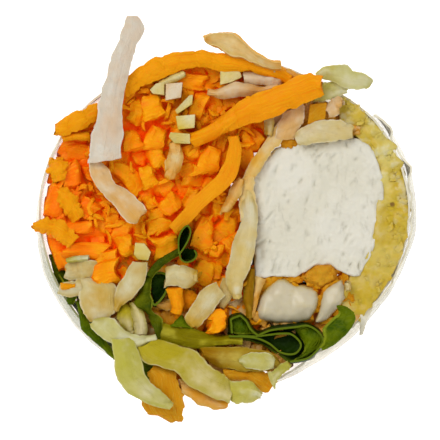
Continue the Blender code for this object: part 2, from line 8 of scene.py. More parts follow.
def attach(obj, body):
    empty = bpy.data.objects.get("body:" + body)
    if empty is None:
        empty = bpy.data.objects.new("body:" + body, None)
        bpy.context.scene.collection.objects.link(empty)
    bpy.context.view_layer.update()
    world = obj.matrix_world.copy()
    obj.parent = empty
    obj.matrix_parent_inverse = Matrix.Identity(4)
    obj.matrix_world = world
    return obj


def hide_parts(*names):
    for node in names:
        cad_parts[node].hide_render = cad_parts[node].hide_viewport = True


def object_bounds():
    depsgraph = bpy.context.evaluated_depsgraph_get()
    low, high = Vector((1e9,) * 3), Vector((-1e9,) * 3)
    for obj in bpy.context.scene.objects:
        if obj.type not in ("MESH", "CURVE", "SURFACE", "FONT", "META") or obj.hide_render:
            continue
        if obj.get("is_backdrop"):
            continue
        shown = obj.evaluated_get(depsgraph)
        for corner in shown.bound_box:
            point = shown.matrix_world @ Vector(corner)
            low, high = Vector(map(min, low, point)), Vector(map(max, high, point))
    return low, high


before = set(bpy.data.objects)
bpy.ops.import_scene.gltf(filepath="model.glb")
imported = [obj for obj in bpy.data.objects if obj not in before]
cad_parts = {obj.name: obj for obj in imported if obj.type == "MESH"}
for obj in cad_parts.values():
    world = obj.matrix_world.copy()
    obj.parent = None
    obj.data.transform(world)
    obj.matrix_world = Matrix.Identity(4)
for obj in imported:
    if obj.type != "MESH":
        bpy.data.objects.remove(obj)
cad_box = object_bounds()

# Lengths are in millimetres until they meet MM. The roll stands on its base round the origin.
MM = 0.001
CUT_HEIGHT = 44.0
WRAP_RADII = (28.3, 28.2, 25.8, 25.9, 26.6, 28.0, 28.2, 27.1, 25.9, 25.4, 24.7, 25.9)
BELLY = 0.7
BELLY_LOWER_LEFT = 1.9
LOWER_LEFT = (212.0, 55.0)      # middle and half width of that side, in degrees
PAPER_START = math.radians(-42.0)
PAPER_OVERLAP = math.radians(78.0)
PAPER_STEP_OUT = 1.1
PAPER_THICKNESS = 0.32
TORN_FLAPS = ((31.0, 6.0, 0.7, 0.9), (17.0, 5.0, 0.9, 0.5))     # middle, half width, outward, upward
TOFU_PITS = 110
CRUMBS = 130
STICK_SHAPES = 5
CHUNK_BENDS = (0.0, 0.0, 0.22, 0.0, -0.3, 0.12, 0.0, 0.0, 0.22)
SHRED_BENDS = (0.5, -0.7, 1.0, -0.3)
ROW_STEP = 0.87                 # staggered rows lie closer than the pieces in a row
FACET = 0.5
PICTURE_WIDTH = 66.0
PICTURE_MIDDLE = (-0.6, 0.6)
CAMERA_DISTANCE = 0.5
ROOM_LIGHT = 0.44


# Shader maths as Python sums

class Shade:
    """A shader socket that takes part in Python sums."""

    def __init__(self, finish, socket):
        self.finish = finish
        self.socket = socket

    def sum(self, operation, *values):
        return self.finish.node("Math", {"operation": operation}, *values)

    def __add__(self, other):
        return self.sum("ADD", self, other)

    def __radd__(self, other):
        return self.sum("ADD", other, self)

    def __sub__(self, other):
        return self.sum("SUBTRACT", self, other)

    def __rsub__(self, other):
        return self.sum("SUBTRACT", other, self)

    def __mul__(self, other):
        return self.sum("MULTIPLY", self, other)

    def __rmul__(self, other):
        return self.sum("MULTIPLY", other, self)

    def __abs__(self):
        return self.sum("ABSOLUTE", self)

    def between(self, low, high):
        """0 below low, 1 above high, smooth in between."""
        return self.finish.node("MapRange", {"interpolation_type": "SMOOTHSTEP"}, self, low, high)


SOCKETS = {"specular_ior_level": "Specular IOR Level"}


class Finish:
    """A material in the making."""

    def __init__(self, name):
        self.material = bpy.data.materials.new(name)
        self.material.use_nodes = True
        self.tree = self.material.node_tree
        self.shader = self.tree.nodes["Principled BSDF"]
        self.place = self.node("TexCoord", {}, out="Object")
        self.route = self.node("TexCoord", {}, out="UV")
        self.facing = self.node("NewGeometry", {}, out="Normal")

    def feed(self, socket, value):
        if isinstance(value, Shade):
            self.tree.links.new(value.socket, socket)
        elif value is not None:
            socket.default_value = value

    def node(self, kind, settings, *values, out=0):
        made = self.tree.nodes.new("ShaderNode" + kind)
        for key, value in settings.items():
            setattr(made, key, value)
        for socket, value in zip(made.inputs, values):
            self.feed(socket, value)
        return Shade(self, made.outputs[out])

    def axis(self, vector, name):
        return self.node("SeparateXYZ", {}, vector, out="XYZ".index(name))

    def stretch(self, vector, scale, turn=(0.0, 0.0, 0.0)):
        return self.node("Mapping", {}, vector, None, turn, scale)

    def cloud(self, vector, scale, detail=2.0, rough=0.5):
        return self.node("TexNoise", {}, vector, None, scale, detail, rough)

    def cells(self, vector, scale, feature="F1"):
        return self.node("TexVoronoi", {"feature": feature}, vector, None, scale, out="Distance")

    def kept(self, name):
        """A number kept with the mesh."""
        return self.node("Attribute", {"attribute_name": name}, out="Fac")

    def mix(self, share, first, second):
        made = self.node("Mix", {"data_type": "RGBA"}, share).socket.node
        for socket, value in ((made.inputs["A"], first), (made.inputs["B"], second)):
            self.feed(socket, value if isinstance(value, Shade) else (*value, 1.0))
        return Shade(self, made.outputs["Result"])

    def set(self, **values):
        for key, value in values.items():
            self.feed(self.shader.inputs[SOCKETS.get(key, key.replace("_", " ").title())], value)

    def relief(self, height, depth_mm, strength=1.0):
        bump = self.node("Bump", {}).socket.node
        bump.inputs["Strength"].default_value = strength
        bump.inputs["Distance"].default_value = depth_mm * MM
        self.feed(bump.inputs["Height"], height)
        self.tree.links.new(bump.outputs["Normal"], self.shader.inputs["Normal"])

    def flesh(self, weight, radius, size_mm):
        """Light that soaks into the food and comes out near by."""
        self.shader.inputs["Subsurface Weight"].default_value = weight
        self.shader.inputs["Subsurface Radius"].default_value = radius
        self.shader.inputs["Subsurface Scale"].default_value = size_mm * MM


def depth_share(finish, low, high):
    """0 below one height and 1 above another."""
    return finish.axis(finish.place, "Z").between(low * MM, high * MM)


def carrot_finish(name, bright, deep, gap=(0.95, 0.085, 0.0), light=(0.98, 0.46, 0.01), left_share=0.0):
    """Cut carrot: yellower on faces that look up and redder on its sides (painted light and shade), redder in
    the gaps (painted shade) and by the left edge.
    """
    finish = Finish(name)
    up = finish.axis(finish.facing, "Z").between(0.1, 0.95)
    mottle = finish.cloud(finish.place, 380.0, 3.0, 0.6)
    fibre = finish.cloud(finish.stretch(finish.route, (4.0, 26.0, 1.0)), 1.0, 3.0, 0.6)
    edge = abs(finish.axis(finish.route, "Y") - 0.5) * 2.0
    tone = finish.kept("tone")
    crevice = finish.kept("crevice")
    left = (1.0 - finish.axis(finish.place, "X").between(-23.0 * MM, -16.0 * MM)) * left_share
    # Faces that look up lean to the bright colour and the sides to the deep one: painted highlight and painted
    # shade.
    colour = finish.mix((up * 0.6 + mottle * 0.7 + tone * 0.5 - 0.47 - left).between(0.0, 1.0), deep, bright)
    colour = finish.mix(fibre.between(0.5, 0.66) * 0.62, colour, light)
    colour = finish.mix((1.0 - fibre).between(0.52, 0.68) * 0.62, colour, deep)
    colour = finish.mix(edge.between(0.8, 0.97) * edge.between(1.06, 1.0) * 0.3, colour, light)
    # The gap colour fills the crevices: painted shade, deepest where the chunks around stand highest.
    colour = finish.mix(crevice.between(0.12, 0.95), colour, gap)
    finish.set(base_color=colour, roughness=0.30 + mottle * 0.25, specular_ior_level=0.07)
    grain = finish.cloud(finish.place, 2600.0, 2.0)
    finish.relief(grain * 0.5 + fibre * 0.8 + mottle, 0.2, 0.8)
    finish.flesh(0.12, (1.0, 0.3, 0.05), 0.8)
    # Painted glow: the crevices give off a faint red light, standing in for light that passes through the
    # carrot into its gaps.
    finish.set(emission_color=finish.mix(crevice.between(0.1, 0.8), (0.0, 0.0, 0.0), (1.0, 0.15, 0.0)))
    finish.set(emission_strength=0.085)
    return finish.material


def cabbage_finish(name, pale, warm, rib, sheen=0.26, pale_end=False, shine=0.18):
    """Cut cabbage: moist, fibrous along its length, warmer at one end, its cut rims lighter where they face
    up, partly their own paleness and partly painted highlight.
    """
    finish = Finish(name)
    along = finish.axis(finish.route, "X")
    edge = abs(finish.axis(finish.route, "Y") - 0.5) * 2.0
    cloud = finish.cloud(finish.place, 230.0, 3.0, 0.55)
    fibre = finish.cloud(finish.stretch(finish.route, (2.2, 20.0, 1.0)), 1.0, 4.0, 0.6)
    up = finish.axis(finish.facing, "Z").between(0.55, 1.0)
    tone = finish.kept("tone")
    crevice = finish.kept("crevice")
    run = along * 0.75 - 1.2 if pale_end else (1.0 - along) * 0.35 - 1.01
    # Faces that look up lean to the pale colour: painted light.
    share = cloud * 1.6 + tone * 0.45 + up * 0.25 + run
    colour = finish.mix(share.between(0.0, 1.0), warm, pale)
    colour = finish.mix(fibre.between(0.5, 0.72) * 0.4, colour, rib)
    colour = finish.mix(edge.between(0.35, 0.85) * 0.4, colour, rib)
    # Faces that look sideways turn warmer and darker: painted shade.
    colour = finish.mix((1.0 - up) * 0.35, colour, warm)
    # Cut rims that face up turn whiter: partly the rims' own paleness, partly painted highlight.
    whiter = min(0.35, 1.2 * pale[2])
    bright = [value + whiter * (white - value) for value, white in zip(pale, (0.80, 0.77, 0.66))]
    colour = finish.mix(edge.between(0.84, 0.96) * up * 0.6, colour, bright)
    # Painted highlight: whiter patches on the faces that look up, away from the rims.
    painted_crest_highlight = up * cloud.between(0.5, 0.7) * (1.0 - edge.between(0.3, 0.8))
    colour = finish.mix(painted_crest_highlight * 0.45, colour, bright)
    # Crevices take a warm dark colour: painted shade.
    colour = finish.mix(crevice.between(0.1, 0.9), colour, (0.62, 0.25, 0.02))
    finish.set(base_color=colour, roughness=sheen + cloud * 0.3, specular_ior_level=shine)
    finish.relief(fibre * 0.8 + cloud * 0.5 + finish.cloud(finish.place, 1500.0, 2.0) * 0.35, 0.32, 0.8)
    finish.flesh(0.12, (1.0, 0.75, 0.45), 0.7)
    return finish.material


def rib_finish():
    """Thick moist rib cut across: white on its swell, yellow and clearer low at its rim; partly its own
    colour, partly painted highlight on top and painted shade low down.
    """
    finish = Finish("cabbage_rib_cut")
    cloud = finish.cloud(finish.place, 260.0, 3.0, 0.6)
    thread = finish.cloud(finish.stretch(finish.place, (300.0, 900.0, 300.0), (0.0, 0.0, 0.3)), 1.0, 3.0, 0.6)
    # Whiter high on the swell, yellower low at the rim: partly the rib's own colour, partly painted highlight
    # and painted shade.
    swell = (depth_share(finish, 44.1, 45.3) * 1.1 + cloud * 0.5 - 0.3).between(0.0, 1.0)
    colour = finish.mix(swell, (0.54, 0.42, 0.12), (0.575, 0.505, 0.345))
    colour = finish.mix(thread.between(0.5, 0.72) * 0.4, colour, (0.56, 0.47, 0.25))
    finish.set(base_color=colour, roughness=0.2 + cloud * 0.25, specular_ior_level=0.4)
    finish.relief(cloud + thread * 0.5, 0.18, 0.7)
    finish.flesh(0.25, (1.0, 0.8, 0.4), 1.2)
    return finish.material


def leaf_finish(name, dark, mid, edge_colour):
    """Dark leaf with light cut edges and fine veins."""
    finish = Finish(name)
    rim = finish.axis(finish.route, "Y").between(0.86, 0.97)
    veins = finish.cells(finish.stretch(finish.route, (9.0, 4.0, 1.0)), 1.0, "DISTANCE_TO_EDGE")
    cloud = finish.cloud(finish.place, 300.0, 3.0, 0.6)
    colour = finish.mix(cloud.between(0.3, 0.7), dark, mid)
    colour = finish.mix((1.0 - veins.between(0.0, 0.06)) * 0.4, colour, mid)
    colour = finish.mix(rim * 0.85, colour, edge_colour)
    finish.set(base_color=colour, roughness=0.32 + cloud * 0.2, specular_ior_level=0.04)
    finish.relief(veins.between(0.0, 0.25) * 0.5 + cloud, 0.2, 0.7)
    return finish.material


def tofu_finish():
    """White curd cut with a knife: matt, a little torn, and darker in its pits as painted shade."""
    finish = Finish("tofu_cut")
    fine = finish.cloud(finish.place, 1400.0, 4.0, 0.65)
    broad = finish.cloud(finish.place, 160.0, 2.0)
    streak = finish.cloud(finish.stretch(finish.place, (1500.0, 620.0, 300.0), (0.0, 0.0, 0.45)), 1.0, 4.0,
        0.7)
    amount = finish.cloud(finish.place, 260.0, 2.0)
    pit = finish.kept("pit")
    colour = finish.mix(broad.between(0.35, 0.65), (0.67, 0.635, 0.51), (0.71, 0.68, 0.575))
    tear = streak.between(0.55, 0.68) * amount.between(0.3, 0.6)
    colour = finish.mix(tear * 0.25, colour, (0.54, 0.51, 0.40))
    # Painted shade: darker where the pits sink in.
    colour = finish.mix(pit * 0.5, colour, (0.46, 0.43, 0.32))
    finish.set(base_color=colour, roughness=0.5 + fine * 0.2)
    finish.relief(fine * 0.6 - tear * 0.6 + broad, 0.16, 0.7)
    finish.flesh(0.2, (1.0, 0.9, 0.7), 0.9)
    return finish.material


def seasoned_finish():
    """Moist golden layer with browner and clearer places and small dark specks."""
    finish = Finish("seasoned_grain")
    patch = finish.cloud(finish.place, 150.0, 3.0, 0.6)
    wet = finish.cloud(finish.stretch(finish.place, (420.0, 420.0, 200.0)), 1.0, 3.0, 0.6)
    speck = finish.cells(finish.place, 330.0)
    amount = finish.cloud(finish.place, 120.0, 1.0)
    low = 1.0 - finish.axis(finish.place, "Y").between(-6.0 * MM, 8.0 * MM)
    colour = finish.mix(patch.between(0.38, 0.64), (0.56, 0.38, 0.015), (0.64, 0.53, 0.15))
    colour = finish.mix(wet.between(0.48, 0.66) * (0.75 - low * 0.35), colour, (0.68, 0.61, 0.35))
    colour = finish.mix(low * 0.5, colour, (0.54, 0.36, 0.012))
    dark_speck = (1.0 - speck.between(0.10, 0.18)) * amount.between(0.55, 0.62)
    colour = finish.mix(dark_speck, colour, (0.16, 0.07, 0.015))
    # Painted shade: browner and darker lower down, below the cut.
    colour = finish.mix(depth_share(finish, 41.5, 44.0), (0.50, 0.33, 0.04), colour)
    finish.set(base_color=colour, roughness=0.26 + wet * 0.3, specular_ior_level=0.3)
    finish.relief(wet + patch * 0.6, 0.35, 0.8)
    finish.flesh(0.2, (1.0, 0.7, 0.2), 0.9)
    return finish.material


def paper_finish():
    """Rice paper: a clear moist film, milky in its wrinkles and white along its creases."""
    finish = Finish("rice_paper_film")
    wrinkle = finish.cloud(finish.stretch(finish.place, (190.0, 190.0, 75.0)), 1.0, 4.0, 0.6)
    slanted = finish.cloud(finish.stretch(finish.place, (90.0, 90.0, 150.0), (0.5, 0.4, 0.0)), 1.0, 3.0, 0.5)
    fine = finish.cloud(finish.place, 900.0, 2.0)
    up = finish.axis(finish.facing, "Z").between(0.3, 0.8)
    crease = abs(slanted - 0.5).between(0.02, 0.0)
    colour = finish.mix(wrinkle.between(0.35, 0.7), (0.53, 0.48, 0.32), (0.79, 0.74, 0.58))
    colour = finish.mix(crease * 0.25, colour, (0.86, 0.85, 0.78))
    colour = finish.mix(up * 0.6, colour, (0.76, 0.71, 0.56))
    # Darker green low on the lower left side: partly the green leaf behind the film, partly painted shade.
    corner = finish.axis(finish.place, "X") + finish.axis(finish.place, "Y")
    lower_left = (1.0 - corner.between(-36.0 * MM, -25.0 * MM)) * depth_share(finish, 10.0, 34.0)
    colour = finish.mix(lower_left * 0.8, colour, (0.22, 0.24, 0.07))
    finish.set(base_color=colour, roughness=0.2 + fine * 0.12, specular_ior_level=0.12)
    near_cut = depth_share(finish, 18.0, 42.0)
    clear = 0.24 + wrinkle.between(0.4, 0.75) * 0.2 + crease * 0.07 + up * 0.25 + near_cut * 0.42
    finish.set(alpha=clear.between(0.0, 1.0))
    finish.relief(wrinkle + slanted * 0.8 + fine * 0.15, 0.6, 0.6)
    return finish.material


def floor_finish():
    finish = Finish("pale_table")
    cloud = finish.cloud(finish.place, 14.0, 2.0)
    finish.set(base_color=finish.mix(cloud, (0.88, 0.88, 0.88), (0.91, 0.91, 0.91)), roughness=0.75)
    finish.set(emission_color=(1.0, 1.0, 1.0, 1.0), emission_strength=0.62)
    return finish.material


# For each look: name, pale, warm and rib colour; where they differ also sheen, pale end and shine
CABBAGE_LOOKS = {
    "cabbage": ("cabbage_cut", (0.66, 0.62, 0.53), (0.68, 0.48, 0.30), (0.62, 0.55, 0.43)),
    "cabbage_pink": ("cabbage_pink", (0.72, 0.59, 0.40), (0.68, 0.36, 0.08), (0.66, 0.48, 0.25)),
    "cabbage_warm": ("cabbage_warm", (0.72, 0.53, 0.22), (0.68, 0.28, 0.004), (0.66, 0.42, 0.07)),
    "cabbage_band": ("cabbage_band", (0.72, 0.58, 0.29), (0.74, 0.38, 0.01), (0.70, 0.50, 0.15), 0.26, True),
    "cabbage_clear": ("cabbage_clear", (0.66, 0.585, 0.37), (0.62, 0.43, 0.08), (0.60, 0.50, 0.22)),
    "cabbage_cream": ("cabbage_cream", (0.62, 0.54, 0.29), (0.54, 0.31, 0.018), (0.52, 0.40, 0.11)),
    "cabbage_lemon": ("cabbage_lemon", (0.72, 0.63, 0.33), (0.66, 0.46, 0.03), (0.62, 0.52, 0.15)),
    "green": ("cabbage_green", (0.61, 0.55, 0.26), (0.46, 0.42, 0.055), (0.50, 0.46, 0.09), 0.22, True, 0.12),
    "green_warm": ("cabbage_green_warm", (0.66, 0.56, 0.28), (0.43, 0.34, 0.008), (0.50, 0.41, 0.04),
                   0.22, True, 0.12),
    "green_pale": ("cabbage_pale_green", (0.64, 0.61, 0.36), (0.48, 0.42, 0.055), (0.50, 0.46, 0.12),
                   0.22, True, 0.12),
    "yellow_green": ("cabbage_yellow_green", (0.50, 0.38, 0.045), (0.31, 0.14, 0.0005), (0.38, 0.26, 0.006),
                     0.22, True, 0.06),
    "stem": ("cabbage_stem", (0.62, 0.54, 0.03), (0.21, 0.17, 0.0005), (0.40, 0.35, 0.005), 0.22, True, 0.05),
}
FINISHES = {
    "carrot": carrot_finish("carrot_cut", (0.87, 0.33, 0.001), (0.93, 0.17, 0.001), left_share=0.5),
    "carrot_light": carrot_finish("carrot_strip_cut", (0.84, 0.32, 0.001), (0.84, 0.20, 0.001),
                                  light=(0.86, 0.40, 0.008)),
    "carrot_amber": carrot_finish("carrot_amber", (0.60, 0.27, 0.004), (0.58, 0.175, 0.001), (0.42, 0.08, 0.0),
                                  (0.64, 0.37, 0.04)),
    "rib": rib_finish(),
    "leaf": leaf_finish("leaf_dark", (0.003, 0.014, 0.0003), (0.016, 0.042, 0.0003), (0.115, 0.16, 0.006)),
    "leaf_mid": leaf_finish("leaf_mid", (0.034, 0.074, 0.0005), (0.125, 0.165, 0.0005), (0.24, 0.28, 0.012)),
    "leaf_light": leaf_finish("leaf_light", (0.030, 0.052, 0.0005), (0.115, 0.13, 0.001), (0.26, 0.28, 0.02)),
    "tofu": tofu_finish(),
    "seasoned": seasoned_finish(),
    "paper": paper_finish(),
}
FINISHES.update((look, cabbage_finish(*values)) for look, values in CABBAGE_LOOKS.items())
SLOT_LOOKS = {
    "carrot": ("carrot", "carrot_light", "carrot_amber"),
    "white_cabbage": ("cabbage", "cabbage_pink", "cabbage_warm", "cabbage_band", "cabbage_clear",
                      "cabbage_cream", "cabbage_lemon", "rib"),
    "green_cabbage": ("green", "green_warm", "green_pale", "yellow_green", "stem"),
    "leaf_green": ("leaf", "leaf_mid", "leaf_light"),
    "tofu": ("tofu",),
    "seasoned_layer": ("seasoned",),
    "rice_paper": ("paper",),
}
SLOTS = {look: slot for slot, looks in SLOT_LOOKS.items() for look in looks}


# Shapes shared with the solids

def ring_value(values, angle):
    """A smooth value between numbers spread evenly round a turn."""
    place = angle / math.tau * len(values)
    first = math.floor(place)
    t = place - first
    a, b, c, d = (values[(first + step) % len(values)] for step in (-1, 0, 1, 2))
    return b + 0.5 * t * (c - a + t * (2 * a - 5 * b + 4 * c - d + t * (3 * (b - c) + d - a)))


def bump(angle, centre, half_width):
    """1 at a place on the turn, 0 from half_width degrees away."""
    away = (math.degrees(angle) - centre + 180.0) % 360.0 - 180.0
    return 0.5 + 0.5 * math.cos(math.pi * min(abs(away) / half_width, 1.0))


def wrap_radius(angle, height):
    """The wrap's outside at an angle and a height, slightly bellied half way up."""
    belly = BELLY + BELLY_LOWER_LEFT * bump(angle, *LOWER_LEFT)
    share = min(max(height / CUT_HEIGHT, 0.0), 1.0)
    return ring_value(WRAP_RADII, angle) - belly + belly * math.sin(math.pi * (0.16 + 0.76 * share))


def turned(angle, radius, height=0.0):
    """A point at an angle and a distance round the roll's middle."""
    return Vector((radius * math.cos(angle), radius * math.sin(angle), height))


def room_inside(x, y):
    """How far a point of the cut lies inside the wrap."""
    return wrap_radius(math.atan2(y, x), CUT_HEIGHT) - math.hypot(x, y)


def on_route(route, share):
    """Point of a smooth route at a share of its length, and its sideways direction in plan."""
    place = min(max(share, 0.0), 0.9999) * (len(route) - 1)
    first = int(place)
    t = place - first
    a, b, c, d = (Vector(route[min(max(first + step, 0), len(route) - 1)]) for step in (-1, 0, 1, 2))
    spot = b + 0.5 * t * (c - a + t * (2 * a - 5 * b + 4 * c - d + t * (3 * (b - c) + d - a)))
    pace = 0.5 * (c - a + 2 * t * (2 * a - 5 * b + 4 * c - d) + 3 * t * t * (3 * (b - c) + d - a))
    return spot, Vector((-pace.y, pace.x, 0.0)).normalized()


def rough(x, y, z, scale):
    return noise.noise(Vector((x, y, z)) * scale)


# Modelling helpers

def clear_choice():
    """Nothing selected, in object mode."""
    if bpy.context.object and bpy.context.object.mode != "OBJECT":
        bpy.ops.object.mode_set(mode="OBJECT")
    bpy.ops.object.select_all(action="DESELECT")


def choose(piece):
    clear_choice()
    piece.select_set(True)
    bpy.context.view_layer.objects.active = piece


def apply_modifier(piece, kind, **settings):
    modifier = piece.modifiers.new(kind.lower(), kind)
    for key, value in settings.items():
        setattr(modifier, key, value)
    bpy.context.view_layer.objects.active = piece
    bpy.ops.object.modifier_apply(modifier=modifier.name)


def keep_numbers(piece, name, values):
    """Keep a number with every point, for the materials."""
    piece.data.attributes.new(name, "FLOAT", "POINT").data.foreach_set("value", values)


def keep_number(piece, name, value):
    keep_numbers(piece, name, [value] * len(piece.data.vertices))


def finished(piece, look, nodes, angle=35.0):
    """Give a piece its material and its body, and hide the solids that it stands for."""
    piece.data.materials.clear()
    piece.data.materials.append(FINISHES[look])
    choose(piece)
    bpy.ops.object.shade_smooth_by_angle(angle=math.radians(angle))
    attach(piece, "root")
    if nodes:
        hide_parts(*nodes)
    return piece


def new_piece(name, add, **settings):
    """A new mesh from one of Blender's own shapes."""
    clear_choice()
    add(**settings)
    piece = bpy.context.object
    piece.name = name
    return piece


def new_grid(name, along, across):
    return new_piece(name, bpy.ops.mesh.primitive_grid_add, x_subdivisions=along, y_subdivisions=across,
        size=1.0)


def divided_cube(name, cuts):
    piece = new_piece(name, bpy.ops.mesh.primitive_cube_add, size=1.0)
    bpy.ops.object.mode_set(mode="EDIT")
    bpy.ops.mesh.select_all(action="SELECT")
    bpy.ops.mesh.subdivide(number_cuts=cuts)
    bpy.ops.object.mode_set(mode="OBJECT")
    return piece


def drop(templates):
    for template in templates:
        bpy.data.objects.remove(template)


def join(pieces, name):
    """One piece from many."""
    clear_choice()
    for piece in pieces:
        piece.select_set(True)
    bpy.context.view_layer.objects.active = pieces[0]
    bpy.ops.object.join()
    pieces[0].name = name
    return pieces[0]


def lay_strip(name, route, thickness, crown=0.0, ragged=0.06, ripple=0.15, tone=0.5, along=28, across=6,
              soft=0.25, torn=0.0):
    """A cut strip laid along a route of (x, y, z, width): a grid shaped in plan, then made solid."""
    piece = new_grid(name, along, across)
    seed = sum(ord(letter) for letter in name) * 0.37
    for vert in piece.data.vertices:
        u = vert.co.x + 0.5
        v = vert.co.y * 2.0
        point, side = on_route(route, u)
        half = 0.5 * point.w * (1.0 + ragged * rough(u * 9.0, v * 0.6, seed, 1.0))
        slope = 2.0 * crown / max(half, 0.3)
        half -= 0.5 * thickness * slope / math.hypot(1.0, slope)
        end = torn * rough(v * 3.0, seed, 5.0, 1.0) * (1.0 if u in (0.0, 1.0) else 0.0)
        lift = crown * (1.0 - v * v) + ripple * rough(point.x, point.y, seed, 0.45)
        lift += ripple * v * rough(u * 4.0, seed, 2.0, 1.0)
        forward = Vector((side.y, -side.x, 0.0)) * end
        vert.co = (Vector(point.xyz) + side * half * v + forward + Vector((0.0, 0.0, lift))) * MM
    apply_modifier(piece, "SOLIDIFY", thickness=thickness * MM, offset=0.0, use_even_offset=False)
    apply_modifier(piece, "BEVEL", width=soft * 0.5 * MM, segments=2, limit_method="ANGLE")
    keep_number(piece, "tone", tone)
    return piece


def dress_strip(node, look, route, thickness, **shape):
    """The finished strip that stands for one solid."""
    return finished(lay_strip(node + "_cut", route, thickness, **shape), look, [node])


def flake(name, edges, thickness=0.9, crown=0.1, ragged=0.14, ripple=0.15, tone=0.5, along=48, across=11,
          soft=0.06, crease=0.22):
    """A cut strip from stations of (left x, left y, right x, right y, height) along its two edges."""
    piece = new_grid(name, along, across)
    seed = sum(ord(letter) for letter in name) * 0.37
    ridge = 0.35 * math.sin(seed)
    for vert in piece.data.vertices:
        u = vert.co.x + 0.5
        v = vert.co.y * 2.0
        spot, _ = on_route(edges, u)
        left = Vector((spot[0], spot[1], 0.0))
        right = Vector((spot[2], spot[3], 0.0))
        across_way = right - left
        width = max(across_way.length, 0.05)
        slope = (4.0 * crown + 2.0 * crease) / max(width, 1.0)
        inset = min(0.4 * width, 0.5 * thickness * slope / math.hypot(1.0, slope))
        jag = (ragged * rough(u * 11.0, v * 0.4, seed, 1.0)
               + 0.6 * ragged * rough(u * 37.0, v * 0.4, seed, 1.0))
        side = 0.5 * (width - 2.0 * inset) * v + jag * v * v * v
        lift = crown * (1.0 - v * v) - crease * abs(v - ridge) + ripple * rough(spot[0], spot[1], seed, 0.5)
        lift += ripple * v * rough(u * 4.0, seed, 2.0, 1.0)
        place = (left + right) * 0.5 + across_way.normalized() * side
        lift += FACET * (0.22 - abs(rough(place.x, place.y, seed + 4.0, 0.42)))
        lift += 0.3 * FACET * (0.22 - abs(rough(place.x, place.y, seed + 9.0, 1.3)))
        vert.co = Vector((place.x, place.y, spot[4] + lift)) * MM
    apply_modifier(piece, "SOLIDIFY", thickness=thickness * MM, offset=0.0, use_even_offset=False)
    apply_modifier(piece, "BEVEL", width=soft * MM, segments=2, limit_method="ANGLE",
                   angle_limit=math.radians(50.0))
    keep_number(piece, "tone", tone)
    return piece


def dress_flake(node, look, edges, **shape):
    """The finished flake that stands for one solid."""
    return finished(flake(node + "_cut", edges, **shape), look, [node])


def loose_flake(name, look, edges, **shape):
    """A finished offcut that stands for no solid."""
    return finished(flake(name + "_cut", edges, **shape), look, [])


def cut_block(name, outline, top, height, tilt=(0.0, 0.0), soft=0.18, tone=0.6):
    """A short cut end from its outline, its top tilted, its faces a little uneven."""
    piece = block_from_outline(name, outline, top - height, top)
    choose(piece)
    apply_modifier(piece, "BEVEL", width=soft * MM, segments=2, limit_method="ANGLE")
    middle_x = sum(x for x, y in outline) / len(outline)
    middle_y = sum(y for x, y in outline) / len(outline)
    seed = middle_x + 3.0 * middle_y
    for vert in piece.data.vertices:
        x, y, z = vert.co / MM
        if z > top - 0.5 * height:
            z += tilt[0] * (x - middle_x) + tilt[1] * (y - middle_y)
        vert.co = Vector((x + 0.1 * rough(y, z, seed, 0.9), y + 0.1 * rough(x, z, seed, 0.9), z)) * MM
    keep_number(piece, "tone", tone)
    return piece


def place_copy(template, name, size, centre, turn, lean=0.0, slope=(0.0, 0.0), tone=0.5):
    """A copy of a template with its own mesh, scaled, leaned, turned and moved, its top cut on a slope."""
    piece = template.copy()
    piece.data = template.data.copy()
    piece.name = name
    bpy.context.scene.collection.objects.link(piece)
    half = 0.5 * size[2]
    for vert in piece.data.vertices:
        x, y, z = vert.co
        cut = max(0.0, z) * 2.0
        vert.co = Vector((x * size[0], y * size[1], z * size[2] + cut * cut * (slope[0] * x + slope[1] * y)))
    grow = Matrix.Translation(Vector((0.0, 0.0, half)))
    tip = Matrix.Rotation(math.radians(lean), 4, "X")
    spin = Matrix.Rotation(math.radians(turn), 4, "Z")
    piece.data.transform(Matrix.Translation(Vector(centre)) @ spin @ grow.inverted() @ tip)
    piece.data.transform(Matrix.Scale(MM, 4))
    keep_number(piece, "tone", tone)
    return piece


def stick_template(name, seed, cuts=3, lumps=0.08, soft=0.09, corner=0.0):
    """One cut stick of unit size: a cube, divided, its sides made uneven and its edges softened."""
    piece = divided_cube(name, cuts)
    for vert in piece.data.vertices:
        x, y, z = vert.co
        pinch = 1.0 - corner * abs(x) * abs(y) * 4.0
        shift = Vector((rough(x * 2.1, y * 2.1 + seed, z * 1.3, 1.0),
                        rough(x * 2.1 + 7.0, y * 2.1, z + seed, 1.0),
                        0.25 * rough(x * 3.0, y * 3.0, seed, 1.0)))
        vert.co = Vector((x * pinch, y * pinch, z)) + shift * lumps * 2.0
    apply_modifier(piece, "BEVEL", width=soft, segments=1, limit_method="ANGLE",
        angle_limit=math.radians(40.0))
    return piece


def block_from_outline(name, outline, bottom, top):
    """An upright block from its outline in plan."""
    piece = new_piece(name, bpy.ops.mesh.primitive_circle_add, vertices=len(outline), radius=1.0,
        fill_type="NGON")
    for vert, (x, y) in zip(piece.data.vertices, outline):
        vert.co = Vector((x, y, bottom)) * MM
    bpy.ops.object.mode_set(mode="EDIT")
    bpy.ops.mesh.select_all(action="SELECT")
    bpy.ops.mesh.extrude_region_move(TRANSFORM_OT_translate={"value": (0.0, 0.0, (top - bottom) * MM)})
    bpy.ops.mesh.select_all(action="SELECT")
    bpy.ops.mesh.normals_make_consistent(inside=False)
    bpy.ops.object.mode_set(mode="OBJECT")
    return piece


def in_outline(x, y, outline):
    """Whether a point lies inside an outline."""
    inside = False
    for (ax, ay), (bx, by) in zip(outline, outline[1:] + outline[:1]):
        if (ay > y) != (by > y) and x < (bx - ax) * (y - ay) / (by - ay) + ax:
            inside = not inside
    return inside


# The piece's parts

